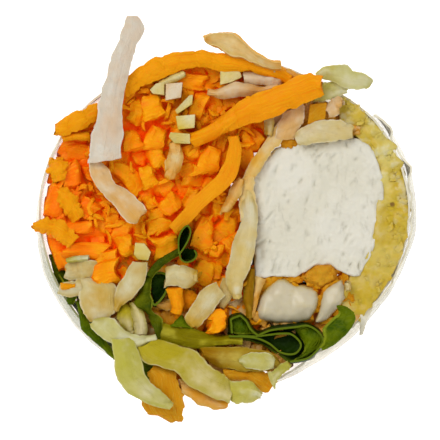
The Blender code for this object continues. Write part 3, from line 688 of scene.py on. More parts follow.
def rice_paper():
    """Wrinkled film round the filling, lapped over the right side, its upper edge ragged."""
    piece = new_grid("rice_paper_film", 300, 44)
    for vert in piece.data.vertices:
        u = vert.co.x + 0.5
        v = vert.co.y + 0.5
        turn = u * (math.tau + PAPER_OVERLAP)
        angle = PAPER_START + turn
        ragged = 0.5 * rough(angle * 9.0, 3.0, u * 4.0, 1.0) + 0.3 * rough(angle * 25.0, 8.0, u * 4.0, 1.0)
        top = CUT_HEIGHT + 0.3 + 0.4 * math.sin(5.0 * angle) + 0.25 * math.sin(11.0 * angle + 1.0) + ragged
        height = 0.1 + (top - 0.1) * v
        lapped = turn / math.tau
        tucked = 1.0 - 0.65 * max(0.0, v - 0.75) / 0.25
        radius = wrap_radius(angle, height)
        radius += PAPER_STEP_OUT * lapped * min(1.0, 0.55 + 0.45 * lapped) * tucked
        radius += 0.7 * bump(angle, 203.0, 42.0) * min(1.0, v * 3.0)
        radius -= 0.8 * bump(angle, 313.0, 26.0) * min(1.0, max(0.0, v - 0.7) * 4.0)
        wrinkle = 0.22 * rough(angle * 6.0, height * 0.10, u * 2.0, 1.0)
        wrinkle += 0.12 * rough(angle * 13.0 + height * 0.12, height * 0.2, 4.0, 1.0)
        radius += wrinkle * min(1.0, v * 8.0) * min(1.0, (1.02 - v) * 6.0 + 0.4)
        upper = max(0.0, v - 0.86) / 0.14
        if u > 0.75:
            radius += upper * upper * 0.45 * rough(angle * 22.0, 2.0, 9.0, 1.0)
            for middle, half_width, outward, upward in TORN_FLAPS:
                flap = upper * bump(angle, middle, half_width)
                radius += upper * flap * outward
                height += flap * upward
        vert.co = turned(angle, radius, height) * MM
    apply_modifier(piece, "SOLIDIFY", thickness=PAPER_THICKNESS * MM, offset=0.0)
    finished(piece, "paper", ["rice_paper_wrap"], 60.0)
    loose_flake("rice_paper_torn_tip", "paper", [
        (21.2, -12.4, 23.0, -11.2, 44.3), (20.6, -14.0, 22.2, -13.0, 44.4), (20.4, -15.4, 21.3, -15.0, 44.2),
        (20.5, -16.7, 20.8, -16.6, 43.8)], thickness=0.3, ragged=0.3, crease=0.0)


def fine_block(name, outline, top, cell):
    """An upright block on the base, its faces small near the cut end and longer down its sides."""
    near, short = 4.0, 16.0
    piece = block_from_outline(name, outline, top - short, top)
    apply_modifier(piece, "REMESH", mode="VOXEL", voxel_size=cell * MM)
    for vert in piece.data.vertices:
        below = top - near - vert.co.z / MM
        if below > 0.0:
            vert.co.z = max(0.0, top - near - below * (top - near) / (short - near)) * MM
    return piece


def tofu_block():
    """White curd: an upright block, its cut face uneven, with small slanted pits."""
    outline = [(7.8, 11.4), (10.1, 12.1), (12.9, 12.3), (15.4, 12.5), (18.6, 12.9), (20.4, 12.8),
        (21.7, 11.9), (22.6, 10.7), (23.2, 9.4), (23.9, 7.1), (24.0, 5.0), (23.8, 2.0), (23.2, -0.9),
        (22.6, -3.5), (21.6, -5.6), (20.4, -7.8), (19.6, -8.0), (17.3, -7.0), (16.2, -6.2), (14.1, -6.2),
        (12.5, -7.0), (10.8, -8.0), (8.2, -7.9), (4.7, -8.1), (4.6, -4.0), (4.7, -0.9), (4.3, 3.6),
        (4.2, 7.2), (5.5, 8.1), (6.1, 9.4)]
    piece = fine_block("tofu_cut_block", outline, CUT_HEIGHT + 1.2, 0.25)
    draw = random.Random(5)
    pits = []
    for _ in range(TOFU_PITS):
        size = draw.choice((0.25, 0.35, 0.5, 0.9))
        pits.append((draw.uniform(4.6, 23.6), draw.uniform(-7.6, 12.4),
            math.radians(draw.uniform(35.0, 100.0)), size, draw.choice((0.2, 0.35, 0.6, 0.8))))
    depth = []
    for vert in piece.data.vertices:
        x, y, z = vert.co / MM
        pit = 0.0
        if z > CUT_HEIGHT:
            for px, py, turn, size, deep in pits:
                if abs(x - px) < 1.4 and abs(y - py) < 1.4:
                    run = (x - px) * math.cos(turn) + (y - py) * math.sin(turn)
                    off = (y - py) * math.cos(turn) - (x - px) * math.sin(turn)
                    pit = max(pit, deep * math.exp(-((run / size) ** 2 + (off / 0.19) ** 2)))
            edge = 0.35 * rough(x, y, 1.0, 0.35) + 0.16 * rough(x, y, 2.0, 1.4) + 0.10 * rough(x, y, 3.0, 4.0)
            z += edge - 0.55 * pit - 0.3
        flat = 0.12 if 0.5 < z else 0.0
        x += flat * rough(y, z, 5.0, 0.9) * 1.6
        y += flat * rough(x, z, 6.0, 0.9) * 1.6
        vert.co = Vector((x, y, max(z, 0.0))) * MM
        depth.append(min(1.0, 1.3 * pit))
    keep_numbers(piece, "pit", depth)
    finished(piece, "tofu", ["tofu_block"], 80.0)


def seasoned_layer():
    """Moist layer between the tofu and the wrap, lumpy at the cut, with crumbs along its outer rim."""
    outline = [(16.5, 19.2), (17.4, 15.8), (20.6, 12.4), (22.4, 10.4), (23.3, 7.3), (23.3, 4.4), (22.6, -0.9),
               (22.0, -3.6), (20.8, -6.2), (19.0, -7.6), (18.2, -10.0), (17.4, -12.2), (20.2, -14.6)]
    for step in range(14):
        angle = math.radians(-34.0 + 81.0 * step / 13.0)
        outline.append(turned(angle, wrap_radius(angle, CUT_HEIGHT) - 0.35).xy)
    piece = fine_block("seasoned_grain_layer", outline, CUT_HEIGHT + 0.6, 0.33)
    for vert in piece.data.vertices:
        x, y, z = vert.co / MM
        lump = 0.6 * rough(x, y, z, 0.45) + 0.28 * rough(x, y, z, 1.1) + 0.12 * rough(x, y, z, 3.4)
        away = Vector((x, y, 0.0)).normalized()
        if z > 0.3:
            upper = max(0.0, (z - CUT_HEIGHT + 1.6) / 2.2)
            outer = max(0.0, math.hypot(x, y) - wrap_radius(math.atan2(y, x), CUT_HEIGHT) + 1.2)
            spill = upper * outer * (0.5 + 1.6 * max(0.0, rough(x, y, 3.0, 0.7)))
            z += 1.2 * lump if z > CUT_HEIGHT - 1.0 else 0.0
            x += away.x * (spill - 0.3 * abs(lump))
            y += away.y * (spill - 0.3 * abs(lump))
        vert.co = Vector((x, y, z)) * MM
    crumbs = [piece]
    draw = random.Random(9)
    template = stick_template("crumb_shape", 3.0, 2, 0.2, 0.2, 0.3)
    for index in range(CRUMBS):
        angle = math.radians(-30.0 + 76.0 * index / (CRUMBS - 1.0))
        radius = wrap_radius(angle, CUT_HEIGHT) - draw.choice((0.8, 1.0, 1.3, 1.8, 2.8))
        centre = turned(angle, radius, CUT_HEIGHT + draw.uniform(0.2, 0.75))
        size = (draw.uniform(0.6, 2.0), draw.uniform(0.5, 1.2), draw.uniform(0.4, 0.7))
        crumbs.append(place_copy(template, "crumb", size, centre, draw.uniform(0, 180),
            draw.uniform(-22, 22)))
    drop([template])
    finished(join(crumbs, "seasoned_grain_layer"), "seasoned", ["seasoned_layer"], 80.0)


def edge_distance(x, y, outline):
    """How far a point lies from an outline."""
    nearest = 99.0
    for (ax, ay), (bx, by) in zip(outline, outline[1:] + outline[:1]):
        long = (bx - ax) ** 2 + (by - ay) ** 2
        share = min(1.0, max(0.0, ((x - ax) * (bx - ax) + (y - ay) * (by - ay)) / long))
        nearest = min(nearest, math.hypot(x - ax - share * (bx - ax), y - ay - share * (by - ay)))
    return nearest


def domed_block(name, outline, top, dome, reach=2.4, lumps=0.15, grain=0.0):
    """A moist piece cut across: an upright block whose cut end swells up towards its middle."""
    piece = fine_block(name, outline, top, 0.3)
    for vert in piece.data.vertices:
        x, y, z = vert.co / MM
        if z > top - 1.0:
            share = min(1.0, edge_distance(x, y, outline) / reach)
            rise = dome * math.sqrt(max(0.0, 1.0 - (1.0 - share) ** 2))
            rise += lumps * rough(x, y, 7.0, 0.5) * 2.0
            rise += grain * rough(x, y, 2.0, 1.6) + 0.5 * grain * rough(x, y, 4.0, 3.5)
            z += rise * (z - top + 1.0)
        flat = 0.12 * min(1.0, z)
        vert.co = Vector((x + flat * rough(y, z, 5.0, 0.9), y + flat * rough(x, z, 6.0, 0.9), z)) * MM
    keep_number(piece, "tone", 0.6)
    return piece


def stand_sheet(name, route, bottom, top, thickness, flare=0.0, ripple=0.15, along=70, across=10):
    """A sheet standing on edge along a route in plan."""
    piece = new_grid(name, along, across)
    seed = sum(ord(letter) for letter in name) * 0.41
    for vert in piece.data.vertices:
        u = vert.co.x + 0.5
        v = vert.co.y + 0.5
        point, side = on_route([(x, y, 0.0, 0.0) for x, y in route], u)
        wave = ripple * rough(u * 7.0, v * 1.5, seed, 1.0)
        spot = Vector(point.xyz) + side * (flare * v * v + wave)
        height = bottom + (top - bottom + ripple * rough(u * 8.0, seed, 1.0, 1.0)) * v
        vert.co = Vector((spot.x, spot.y, height)) * MM
    apply_modifier(piece, "SOLIDIFY", thickness=thickness * MM, offset=0.0)
    apply_modifier(piece, "BEVEL", width=0.12 * thickness * MM, segments=2, limit_method="ANGLE")
    keep_number(piece, "tone", 0.5)
    return piece


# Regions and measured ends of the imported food

CARROT_REGION = [(6.2, 18.0), (5.4, 15.9), (3.6, 12.9), (1.7, 9.6), (1.0, 6.2), (1.2, 2.4), (1.6, -1.0),
                 (1.7, -4.9), (-5.5, -5.1), (-13.0, -5.5), (-20.0, -6.0), (-31.0, -5.4), (-32.0, 2.0),
                 (-31.0, 14.0), (-20.0, 27.0), (-5.0, 31.0), (6.4, 31.0)]
UPPER_REGION = [(9.0, 13.2), (8.7, 15.2), (7.4, 18.0), (7.1, 31.0), (16.2, 27.0), (16.1, 19.0), (17.8, 15.6),
                (20.6, 12.8)]
LOWER_REGION = [(-31.0, -5.9), (-20.0, -6.5), (-13.0, -6.0), (-5.5, -5.6), (1.5, -5.4), (1.3, -8.0),
                (0.9, -11.4), (3.9, -12.0), (4.4, -13.8), (7.0, -14.6), (11.6, -14.5), (13.6, -15.1),
                (15.4, -15.1), (17.6, -14.0), (19.0, -12.7), (21.0, -14.2), (31.0, -19.0), (20.0, -27.0),
                (0.0, -31.0), (-20.0, -27.0), (-31.0, -14.0)]

CARROT_CUT_REGION = [(7.6, 18.4), (7.0, 15.9), (5.2, 12.9), (3.3, 9.6), (2.4, 6.2), (2.4, 2.4), (2.0, -1.0),
                     (1.9, -4.9)] + CARROT_REGION[8:]
LOWER_CARROT_REGION = [(-6.0, -5.8), (1.6, -5.6), (4.6, -8.0), (5.0, -14.6), (1.0, -15.2), (-3.0, -16.4),
                       (-7.6, -14.4), (-6.4, -9.9)]
LOWER_CARROT_ENDS = [(-3.2, -7.4, 3.4, 3.6, -30, 1.2), (-1.4, -6.9, 2.4, 3.0, 5, 0.9),
    (-17.1, -6.9, 4.2, 4.2, 8, 2.6), (2.6, -13.0, 2.4, 2.4, 10, 0.4), (-15.0, -7.6, 1.6, 2.4, 20, 1.4)]

BITS_REGION = [(4.2, -6.9), (12.0, -5.2), (18.0, -6.2), (20.6, -8.2), (20.4, -13.0), (14.0, -14.6),
    (4.4, -14.0)]

# Carrot ends in view: place, width, depth, turn and height over the cut, in millimetres and degrees
CARROT_ENDS = [
    (-13.7, 12.3, 3.2, 2.9, 8, 2.6), (-10.4, 12.4, 3.2, 4.2, -8, 2.2), (-13.6, 16.6, 2.3, 4.2, -18, 1.6),
    (-10.5, 17.4, 4.2, 3.2, 20, 2.2), (-4.6, 21.6, 4.6, 2.3, -8, 1.8), (-5.6, 19.6, 2.0, 3.0, 0, 1.4),
    (-3.5, 18.0, 2.4, 4.2, -22, 1.9), (-3.2, 15.9, 2.8, 2.6, 25, 0.8), (-9.7, 10.0, 2.6, 4.0, 25, 1.7),
    (-4.9, 10.8, 3.0, 2.3, 15, 1.6), (-2.2, 9.3, 3.4, 5.2, -8, 2.0), (-5.4, 6.8, 3.4, 4.2, 10, 0.6),
    (-11.3, 7.1, 3.0, 3.0, 25, 2.6), (-14.7, 7.0, 2.8, 5.6, 42, 1.6), (-9.0, 5.6, 3.0, 3.0, -10, 1.0),
    (-23.2, 7.1, 3.0, 4.2, 8, 1.8), (-22.0, 10.9, 4.8, 3.2, 8, 0.4), (-21.8, 13.1, 4.0, 1.2, 8, 1.4),
    (-25.4, 3.2, 2.8, 4.8, -12, 1.8), (-22.9, 3.4, 2.6, 2.8, 10, 1.6), (-19.6, 2.6, 2.9, 3.4, -30, 1.8),
    (-17.2, 1.4, 3.0, 2.6, 12, 0.8), (-21.3, 1.6, 2.5, 2.4, 35, 0.8), (-8.0, 3.2, 3.0, 3.6, -32, 2.2),
    (-5.6, 3.6, 2.0, 3.8, -28, 1.4), (-11.4, 3.5, 1.9, 2.9, 32, 1.6), (-10.3, 1.6, 2.6, 2.2, 5, 1.2),
    (-21.9, -0.2, 4.6, 1.8, 4, 1.8), (-24.4, -1.8, 3.2, 3.2, -25, 1.6), (-20.5, -1.5, 4.4, 3.0, 8, 0.2),
    (-15.8, -1.0, 3.6, 3.2, -12, 0.9), (-10.2, -0.4, 3.8, 2.4, 12, 1.4), (-20.6, -3.9, 7.2, 2.8, 2, 2.0),
    (-17.3, -4.9, 3.8, 2.2, 12, 2.0), (-14.8, -3.5, 2.9, 4.2, 12, 2.4), (-9.2, -3.0, 3.8, 3.3, 14, 2.4),
    (-3.2, -2.0, 3.4, 4.8, -14, 1.9), (-1.2, -4.2, 2.4, 2.2, 5, 1.2), (-0.3, 3.2, 1.9, 4.2, -24, 1.6),
    (-12.9, -0.8, 2.4, 3.2, 18, 0.8), (-17.9, 5.2, 2.0, 5.0, 14, 0.2), (-6.2, -2.4, 2.0, 3.6, 22, 1.0),
    (1.9, 14.2, 2.0, 3.2, -28, 1.3), (3.4, 12.6, 2.0, 3.4, 30, 1.4), (-0.6, 12.4, 2.0, 4.0, -14, 1.0),
    (-15.4, 10.0, 2.4, 3.0, 5, 0.6), (-7.6, 16.0, 2.0, 3.0, 10, 0.6), (-1.6, 5.6, 2.4, 3.0, -20, 0.8),
    (-24.6, 0.6, 2.8, 2.0, 20, 1.2), (-12.6, 9.6, 2.4, 2.2, -25, 0.6), (-8.4, 20.6, 2.6, 2.4, 20, 0.6),
    (-1.0, 17.2, 2.4, 2.6, 10, 0.6), (0.2, 20.8, 3.0, 1.8, 15, 0.4), (-18.6, 11.2, 2.4, 6.0, 8, 0.8),
    (-16.6, 17.4, 2.6, 4.0, -40, 0.4), (-19.4, -5.4, 2.4, 1.6, 0, 0.8)]


def packed_places(draw, region, spacing, stray, steps, least_room):
    """Places in staggered rows over a region of the cut, each a little out of its row."""
    for row in range(-steps, steps + 1):
        for column in range(-steps, steps + 1):
            x = (column + 0.5 * (row % 2)) * spacing + draw.uniform(-stray, stray)
            y = row * spacing * ROW_STEP + draw.uniform(-stray, stray)
            if room_inside(x, y) > least_room and in_outline(x, y, region):
                yield x, y


def standing_sticks(name, look, nodes, region, block, spacing, seed, core_top, fall=2.2):
    """Cut sticks that run from the base up to the cut, packed close round a core of the same food."""
    draw = random.Random(seed)
    templates = [stick_template(f"{name}_shape_{index}", seed + 3.1 * index, 2, 0.075, 0.07, 0.10)
                 for index in range(STICK_SHAPES)]
    made = []
    for x, y in packed_places(draw, region, spacing, 0.3, 22, 1.6):
        top = CUT_HEIGHT - draw.uniform(0.0, fall)
        size = (block * draw.uniform(0.9, 1.3), block * draw.uniform(0.85, 1.1), top)
        made.append(place_copy(templates[len(made) % STICK_SHAPES], "stick", size, (x, y, top),
                               draw.uniform(0.0, 180.0), 0.0,
                               (draw.uniform(-0.5, 0.5), draw.uniform(-0.5, 0.5)), draw.random()))
    drop(templates)
    core_gap, low = 2.6, 6.0
    outline = []
    for step in range(120):
        angle = math.tau * step / 120.0
        outline.append(tuple(turned(angle, wrap_radius(angle, low) - core_gap).xy))
    inner = [point for point in outline if in_outline(*point, region)]
    border = [(x, y) for x, y in region if math.hypot(x, y) < wrap_radius(math.atan2(y, x), low) - core_gap]
    ring = sorted(inner + border, key=lambda point: turn_about(point, region))
    core = block_from_outline(name + "_core", ring, 1.0, core_top)
    keep_number(core, "tone", 0.3)
    piece = join(made + [core], name)
    for vert in piece.data.vertices:
        x, y, z = vert.co / MM
        angle = math.atan2(y, x)
        bow = 0.5 * rough(x * 0.2, y * 0.2, z * 0.06, 1.0)
        bow *= min(1.0, z / 8.0) * min(1.0, max(0.0, 42.0 - z) / 8.0)
        belly = wrap_radius(angle, z) - wrap_radius(angle, CUT_HEIGHT)
        reach = math.hypot(x, y) / wrap_radius(angle, CUT_HEIGHT)
        radius = min(math.hypot(x, y) + bow + belly * reach ** 3, wrap_radius(angle, z) - 0.45)
        vert.co = turned(angle, radius, max(z, 0.0)) * MM
    return finished(piece, look, nodes, 40.0)


def turn_about(point, region):
    """Angle of a point seen from the middle of a region."""
    drawn_in = [(x * min(1.0, 20.0 / math.hypot(x, y)), y * min(1.0, 20.0 / math.hypot(x, y)))
                for x, y in region]
    middle_x = sum(x for x, y in drawn_in) / len(region)
    middle_y = sum(y for x, y in drawn_in) / len(region)
    return math.atan2(point[1] - middle_y, point[0] - middle_x)


def chunk_template(name, seed, roundness=7.0, lumps=0.07, fine=0.014, taper=0.2, curl=0.0, cuts=6):
    """A rough cut chunk of unit size: a divided cube, its corners drawn in unevenly and its faces torn."""
    piece = divided_cube(name, cuts)
    draw = random.Random(seed)
    corners = {(i, j): Vector((draw.uniform(-taper, 0.04) * i, draw.uniform(-taper, 0.04) * j, 0.0))
               for i in (-1, 1) for j in (-1, 1)}
    for vert in piece.data.vertices:
        x, y, z = vert.co
        size = sum(abs(2.0 * value) ** roundness for value in (x, y, z)) ** (1.0 / roundness)
        greatest = max(abs(x), abs(y), abs(z)) * 2.0
        spot = vert.co * (greatest / max(size, 0.001))
        for (i, j), move in corners.items():
            spot += move * (0.5 + i * x) * (0.5 + j * y)
        spot += Vector((rough(x, y + seed, z, 1.9), rough(x + 7.0, y, z + seed, 1.9),
                        0.6 * rough(x + seed, y, z, 2.6))) * 2.0 * lumps
        spot += Vector((rough(x, y + seed, z, 6.0), rough(x + 7.0, y, z + seed, 6.0),
                        rough(x + seed, y, z + 3.0, 5.0))) * 2.0 * fine
        spot.x += curl * (spot.y * spot.y * 4.0 - 0.5)
        vert.co = spot
    return piece


def torn_chunks(name, look, region, ends, spacing, block, seed, low, high, fill_high):
    """Chunks at the cut: those measured one by one, then others that fill the room between them."""
    draw = random.Random(seed)
    templates = [chunk_template(f"{name}_shape_{index}", seed + index, 8.0, 0.07, 0.016, 0.22, bend)
                 for index, bend in enumerate(CHUNK_BENDS)]
    made = []
    for index, (x, y, wide, deep, turn, tall) in enumerate(ends):
        slope = (draw.uniform(-0.32, 0.32), draw.uniform(-0.32, 0.32))
        made.append(place_copy(templates[index % len(templates)], "chunk",
                               (wide * 1.16, deep * 1.16, 4.0 + tall), (x, y, CUT_HEIGHT + tall),
                               turn + draw.choice((0, 180)), draw.uniform(-9, 9), slope,
                               draw.uniform(low, high)))
    for x, y in packed_places(draw, region, spacing, 0.5, int(30.0 / spacing), 0.5):
        crowd = min(math.hypot(x - end[0], y - end[1]) / (0.25 * (end[2] + end[3])) for end in ends)
        tall = fill_high * draw.uniform(0.2, 1.0) * (0.2 if crowd < 1.1 else 1.0)
        size = (block * draw.uniform(0.7, 1.3), block * draw.uniform(0.7, 1.5), 3.6)
        made.append(place_copy(draw.choice(templates), "chunk", size, (x, y, CUT_HEIGHT + tall),
                               draw.uniform(0, 360), draw.uniform(-25, 25),
                               (draw.uniform(-0.45, 0.45), draw.uniform(-0.45, 0.45)),
                               draw.uniform(low, high)))
    drop(templates)
    piece = join(made, name)
    for vert in piece.data.vertices:
        x, y, z = vert.co / MM
        angle = math.atan2(y, x)
        radius = math.hypot(x, y)
        limit = wrap_radius(angle, min(z, CUT_HEIGHT)) - 0.3 + max(0.0, z - CUT_HEIGHT - 0.6) * 0.7
        if radius > limit:
            radius = limit + 0.12 * (radius - limit)
            vert.co = turned(angle, radius, z) * MM
    mark_crevices(piece)
    return finished(piece, look, [], 38.0)


def torn_shreds(name, look, region, count, seed):
    """Thin curved shreds that lie in the gaps between the chunks."""
    draw = random.Random(seed)
    templates = [chunk_template(f"{name}_shape_{index}", seed + index, 5.0, 0.10, 0.03, 0.3, bend, 2)
                 for index, bend in enumerate(SHRED_BENDS)]
    made = []
    while len(made) < count:
        x = draw.uniform(-29.0, 8.0)
        y = draw.uniform(-16.0, 27.0)
        top = CUT_HEIGHT + draw.uniform(0.9, 2.1)
        if room_inside(x, y) > 1.8 and in_outline(x, y, region):
            size = (draw.uniform(0.5, 1.0), draw.uniform(1.6, 4.0), draw.uniform(0.6, 1.2))
            made.append(place_copy(draw.choice(templates), "shred", size, (x, y, top), draw.uniform(0, 360),
                                   draw.uniform(-14, 14), tone=draw.uniform(0.3, 1.3)))
    drop(templates)
    piece = join(made, name)
    keep_number(piece, "crevice", 0.1)
    return finished(piece, look, [], 38.0)


def mark_crevices(piece, cell=0.45, reach=3, depth=2.6):
    """Keep with every point how far it lies below the chunks around it, for the painted shade and, on carrot,
    the painted glow in the gaps.
    """
    tops = {}
    spots = [(vert.co / MM) for vert in piece.data.vertices]
    for spot in spots:
        key = (round(spot.x / cell), round(spot.y / cell))
        tops[key] = max(tops.get(key, 0.0), spot.z)
    around = {}
    steps = [(i, j) for i in range(-reach, reach + 1) for j in range(-reach, reach + 1)
             if i * i + j * j <= reach * reach]
    for key in tops:
        near = [tops[(key[0] + i, key[1] + j)] for i, j in steps if (key[0] + i, key[1] + j) in tops]
        around[key] = 0.5 * (max(near) + sum(near) / len(near))
    values = [min(1.0, max(0.0, (around[(round(spot.x / cell), round(spot.y / cell))] - spot.z) / depth))
              for spot in spots]
    keep_numbers(piece, "crevice", values)


def carrots():
    standing_sticks("carrot_sticks", "carrot_light", ["carrot_bundle"], CARROT_REGION, 2.9, 2.8, 11, 42.8)
    torn_chunks("carrot_chunks", "carrot", CARROT_CUT_REGION, CARROT_ENDS, 3.0, 3.6, 21, 0.2, 1.0, 0.9)
    torn_chunks("carrot_lower_chunks", "carrot", LOWER_CARROT_REGION, LOWER_CARROT_ENDS, 2.4, 2.8, 25, 0.1,
        0.8, 1.0)
    torn_shreds("carrot_shreds", "carrot", CARROT_REGION, 130, 51)
    torn_shreds("carrot_lower_shreds", "carrot_amber", LOWER_CARROT_REGION, 14, 55)
    dress_flake("carrot_top_arc", "carrot_light", [
        (-14.9, 21.5, -14.8, 18.9, 46.2), (-14.0, 22.5, -12.8, 20.1, 46.3), (-12.6, 23.5, -11.1, 21.2, 46.5),
        (-10.7, 24.6, -9.0, 22.1, 46.6), (-8.3, 25.4, -6.9, 22.9, 46.6), (-5.6, 25.8, -4.8, 23.5, 46.7),
        (-3.1, 25.9, -2.7, 23.6, 46.7), (-0.6, 25.5, -0.8, 23.1, 46.7), (2.2, 25.2, 2.0, 23.1, 46.7),
        (4.9, 24.5, 4.3, 22.8, 46.7), (7.0, 23.5, 6.8, 22.5, 46.6), (8.5, 23.1, 7.7, 22.3, 46.4),
        (10.4, 22.1, 9.8, 21.2, 46.3)], thickness=2.0, crown=0.1, crease=0.25, along=110, ragged=0.2,
        tone=1.2)
    loose_flake("carrot_under_arc", "carrot", [
        (-8.2, 22.2, -8.0, 24.4, 42.4), (-5.5, 22.0, -5.5, 24.7, 42.6), (-2.8, 22.0, -2.9, 24.6, 42.5)],
        thickness=0.8, ripple=0.3, tone=0.4)
    loose_flake("carrot_beside_band", "carrot", [
        (1.9, 5.8, 4.2, 6.0, 42.2), (1.8, 8.0, 4.2, 8.1, 42.4), (1.9, 10.2, 4.1, 10.2, 42.2)], thickness=0.8,
        ripple=0.3, tone=0.4)
    dress_flake("carrot_left_tip", "carrot_light", [
        (-25.3, 14.3, -25.1, 14.0, 45.9), (-24.0, 15.5, -24.0, 13.3, 46.1), (-22.2, 16.8, -22.1, 13.9, 46.3),
        (-20.5, 17.6, -20.3, 14.9, 46.2), (-18.9, 18.2, -19.3, 15.7, 46.2)], thickness=1.8, tone=0.9)
    loose_flake("carrot_thin_strip", "carrot_light", [
        (-24.1, 13.1, -24.0, 12.6, 45.9), (-22.2, 13.7, -22.1, 12.6, 46.0), (-20.5, 13.6, -20.1, 12.6, 46.0)],
        thickness=1.0, tone=0.9)
    for name, edges in (
            ("carrot_frill_upper", [
                (-25.9, 4.4, -25.0, 5.8, 45.6), (-24.6, 3.0, -23.0, 5.0, 46.3), (-23.6, 1.5, -21.7, 3.3, 46.4),
                (-22.6, 0.0, -21.0, 1.4, 46.1)]),
            ("carrot_frill_lower", [
                (-28.8, -0.5, -28.5, 0.1, 45.4), (-27.4, -1.2, -26.6, 1.0, 45.8),
                (-25.8, -1.8, -24.6, 0.8, 46.2), (-24.4, -2.9, -23.2, -0.6, 46.2),
                (-23.0, -3.4, -21.8, -1.9, 45.9)]),
            ("carrot_frill_side", [
                (-26.3, 9.6, -24.6, 9.8, 45.5), (-26.4, 7.9, -23.6, 8.6, 46.2),
                (-25.8, 6.2, -23.9, 6.6, 46.0)])):
        loose_flake(name, "carrot_light", edges, thickness=0.8, ragged=0.7, ripple=0.9, crease=0.4, tone=0.9)
    dress_flake("carrot_diagonal_strip", "carrot_light", [
        (-4.8, 12.7, -4.6, 12.3, 46.8), (-2.7, 14.0, -1.9, 12.9, 47.1), (-0.6, 15.5, -0.2, 13.7, 47.3),
        (1.3, 17.0, 1.7, 14.3, 47.6), (3.4, 18.9, 4.0, 14.9, 47.9), (6.1, 19.8, 6.6, 15.7, 48.1),
        (8.7, 20.9, 9.1, 16.8, 48.3), (11.2, 21.8, 11.6, 17.9, 48.4), (13.1, 22.4, 13.7, 18.7, 48.5),
        (14.3, 21.8, 14.9, 19.5, 48.5)], thickness=2.2, crown=0.1, crease=0.45, along=90, ragged=0.2,
        soft=0.2)
    dress_strip("carrot_curved_strip", "carrot_light", [
        (1.4, 13.2, 46.3, 0.8), (1.6, 11.0, 46.5, 2.0), (1.0, 8.4, 46.7, 2.4), (-0.6, 6.0, 46.8, 2.4),
        (-3.8, 3.0, 46.9, 2.2), (-6.2, 0.6, 46.7, 1.9), (-7.6, -0.8, 46.6, 1.4)], 2.0, crown=0.1, along=60,
        ragged=0.14, torn=0.4)
    dress_flake("carrot_lower_strip", "carrot_amber", [
        (-0.3, -21.8, 0.7, -23.3, 46.0), (1.5, -21.9, 1.7, -23.4, 46.1), (3.6, -22.1, 3.6, -23.4, 46.2),
        (5.7, -22.2, 4.3, -24.1, 46.2), (7.3, -22.9, 5.2, -24.8, 46.1), (8.0, -23.6, 6.3, -25.4, 46.0)],
        thickness=1.2, ragged=0.3, tone=0.7)
    dress_flake("carrot_bottom_flag", "carrot_amber", [
        (-11.5, -22.3, -10.2, -21.1, 46.8), (-11.3, -23.0, -7.5, -22.0, 46.9),
        (-11.3, -24.0, -6.9, -23.5, 46.8), (-11.9, -25.3, -6.2, -25.2, 46.4),
        (-12.3, -26.6, -6.2, -27.0, 45.9), (-11.5, -28.2, -6.2, -28.0, 45.4),
        (-10.0, -28.4, -6.0, -29.1, 45.0), (-8.0, -29.7, -6.4, -29.5, 44.7)], thickness=0.9, ragged=0.35,
        ripple=0.35, along=44, tone=0.8)
    loose_flake("carrot_below_strips", "carrot_amber", [
        (-8.8, -20.4, -5.4, -20.6, 45.2), (-8.2, -22.4, -2.8, -23.0, 45.3), (-6.8, -24.0, -1.2, -25.0, 45.2),
        (-4.6, -25.4, 0.8, -25.6, 45.0)], thickness=0.8, ragged=0.4, tone=0.3)
    dress_flake("carrot_orange_wedge", "carrot_light", [
        (-8.7, -9.5, -6.3, -9.5, 47.2), (-8.0, -10.8, -6.3, -11.2, 47.1), (-7.6, -12.2, -6.3, -12.5, 47.1),
        (-7.4, -13.3, -7.1, -13.4, 47.0)], thickness=1.6, ragged=0.2, crown=0.15)
    loose_flake("carrot_amber_bit", "carrot_light", [
        (-6.4, -9.9, -6.0, -12.9, 45.6), (-5.0, -10.0, -5.2, -12.6, 45.7), (-4.1, -10.8, -4.2, -11.8, 45.7)],
        thickness=0.9, tone=0.0)
    finished(cut_block("carrot_end_upper_right_cut", [(12.8, 18.0), (15.4, 18.2), (15.2, 15.7), (14.1, 15.5),
                       (12.5, 14.9)], 46.6, 2.4, (0.0, 0.25)), "carrot_amber", ["carrot_end_upper_right"])
    chunk = chunk_template("chunk_shape", 8, 6.0, 0.14, 0.05, 0.2)
    piece = place_copy(chunk, "carrot_orange_chunk_cut", (4.0, 3.4, 3.0), (-1.3, -14.6, 47.3), 15, 0.0,
                       (0.5, -0.4), 0.8)
    keep_number(piece, "crevice", 0.1)
    finished(piece, "carrot", ["carrot_orange_chunk"])
    drop([chunk])
    outline = [(12.5, -7.0), (14.1, -6.1), (16.2, -6.0), (17.1, -7.0), (17.1, -8.2), (15.8, -8.9),
        (15.0, -9.3), (14.5, -9.9), (12.9, -9.3), (12.0, -8.5), (11.4, -8.1)]
    piece = domed_block("carrot_under_tofu_cut", outline, CUT_HEIGHT + 0.2, 1.0, 1.2, 0.3, 0.9)
    finished(piece, "carrot_amber", ["carrot_under_tofu"], 60.0)


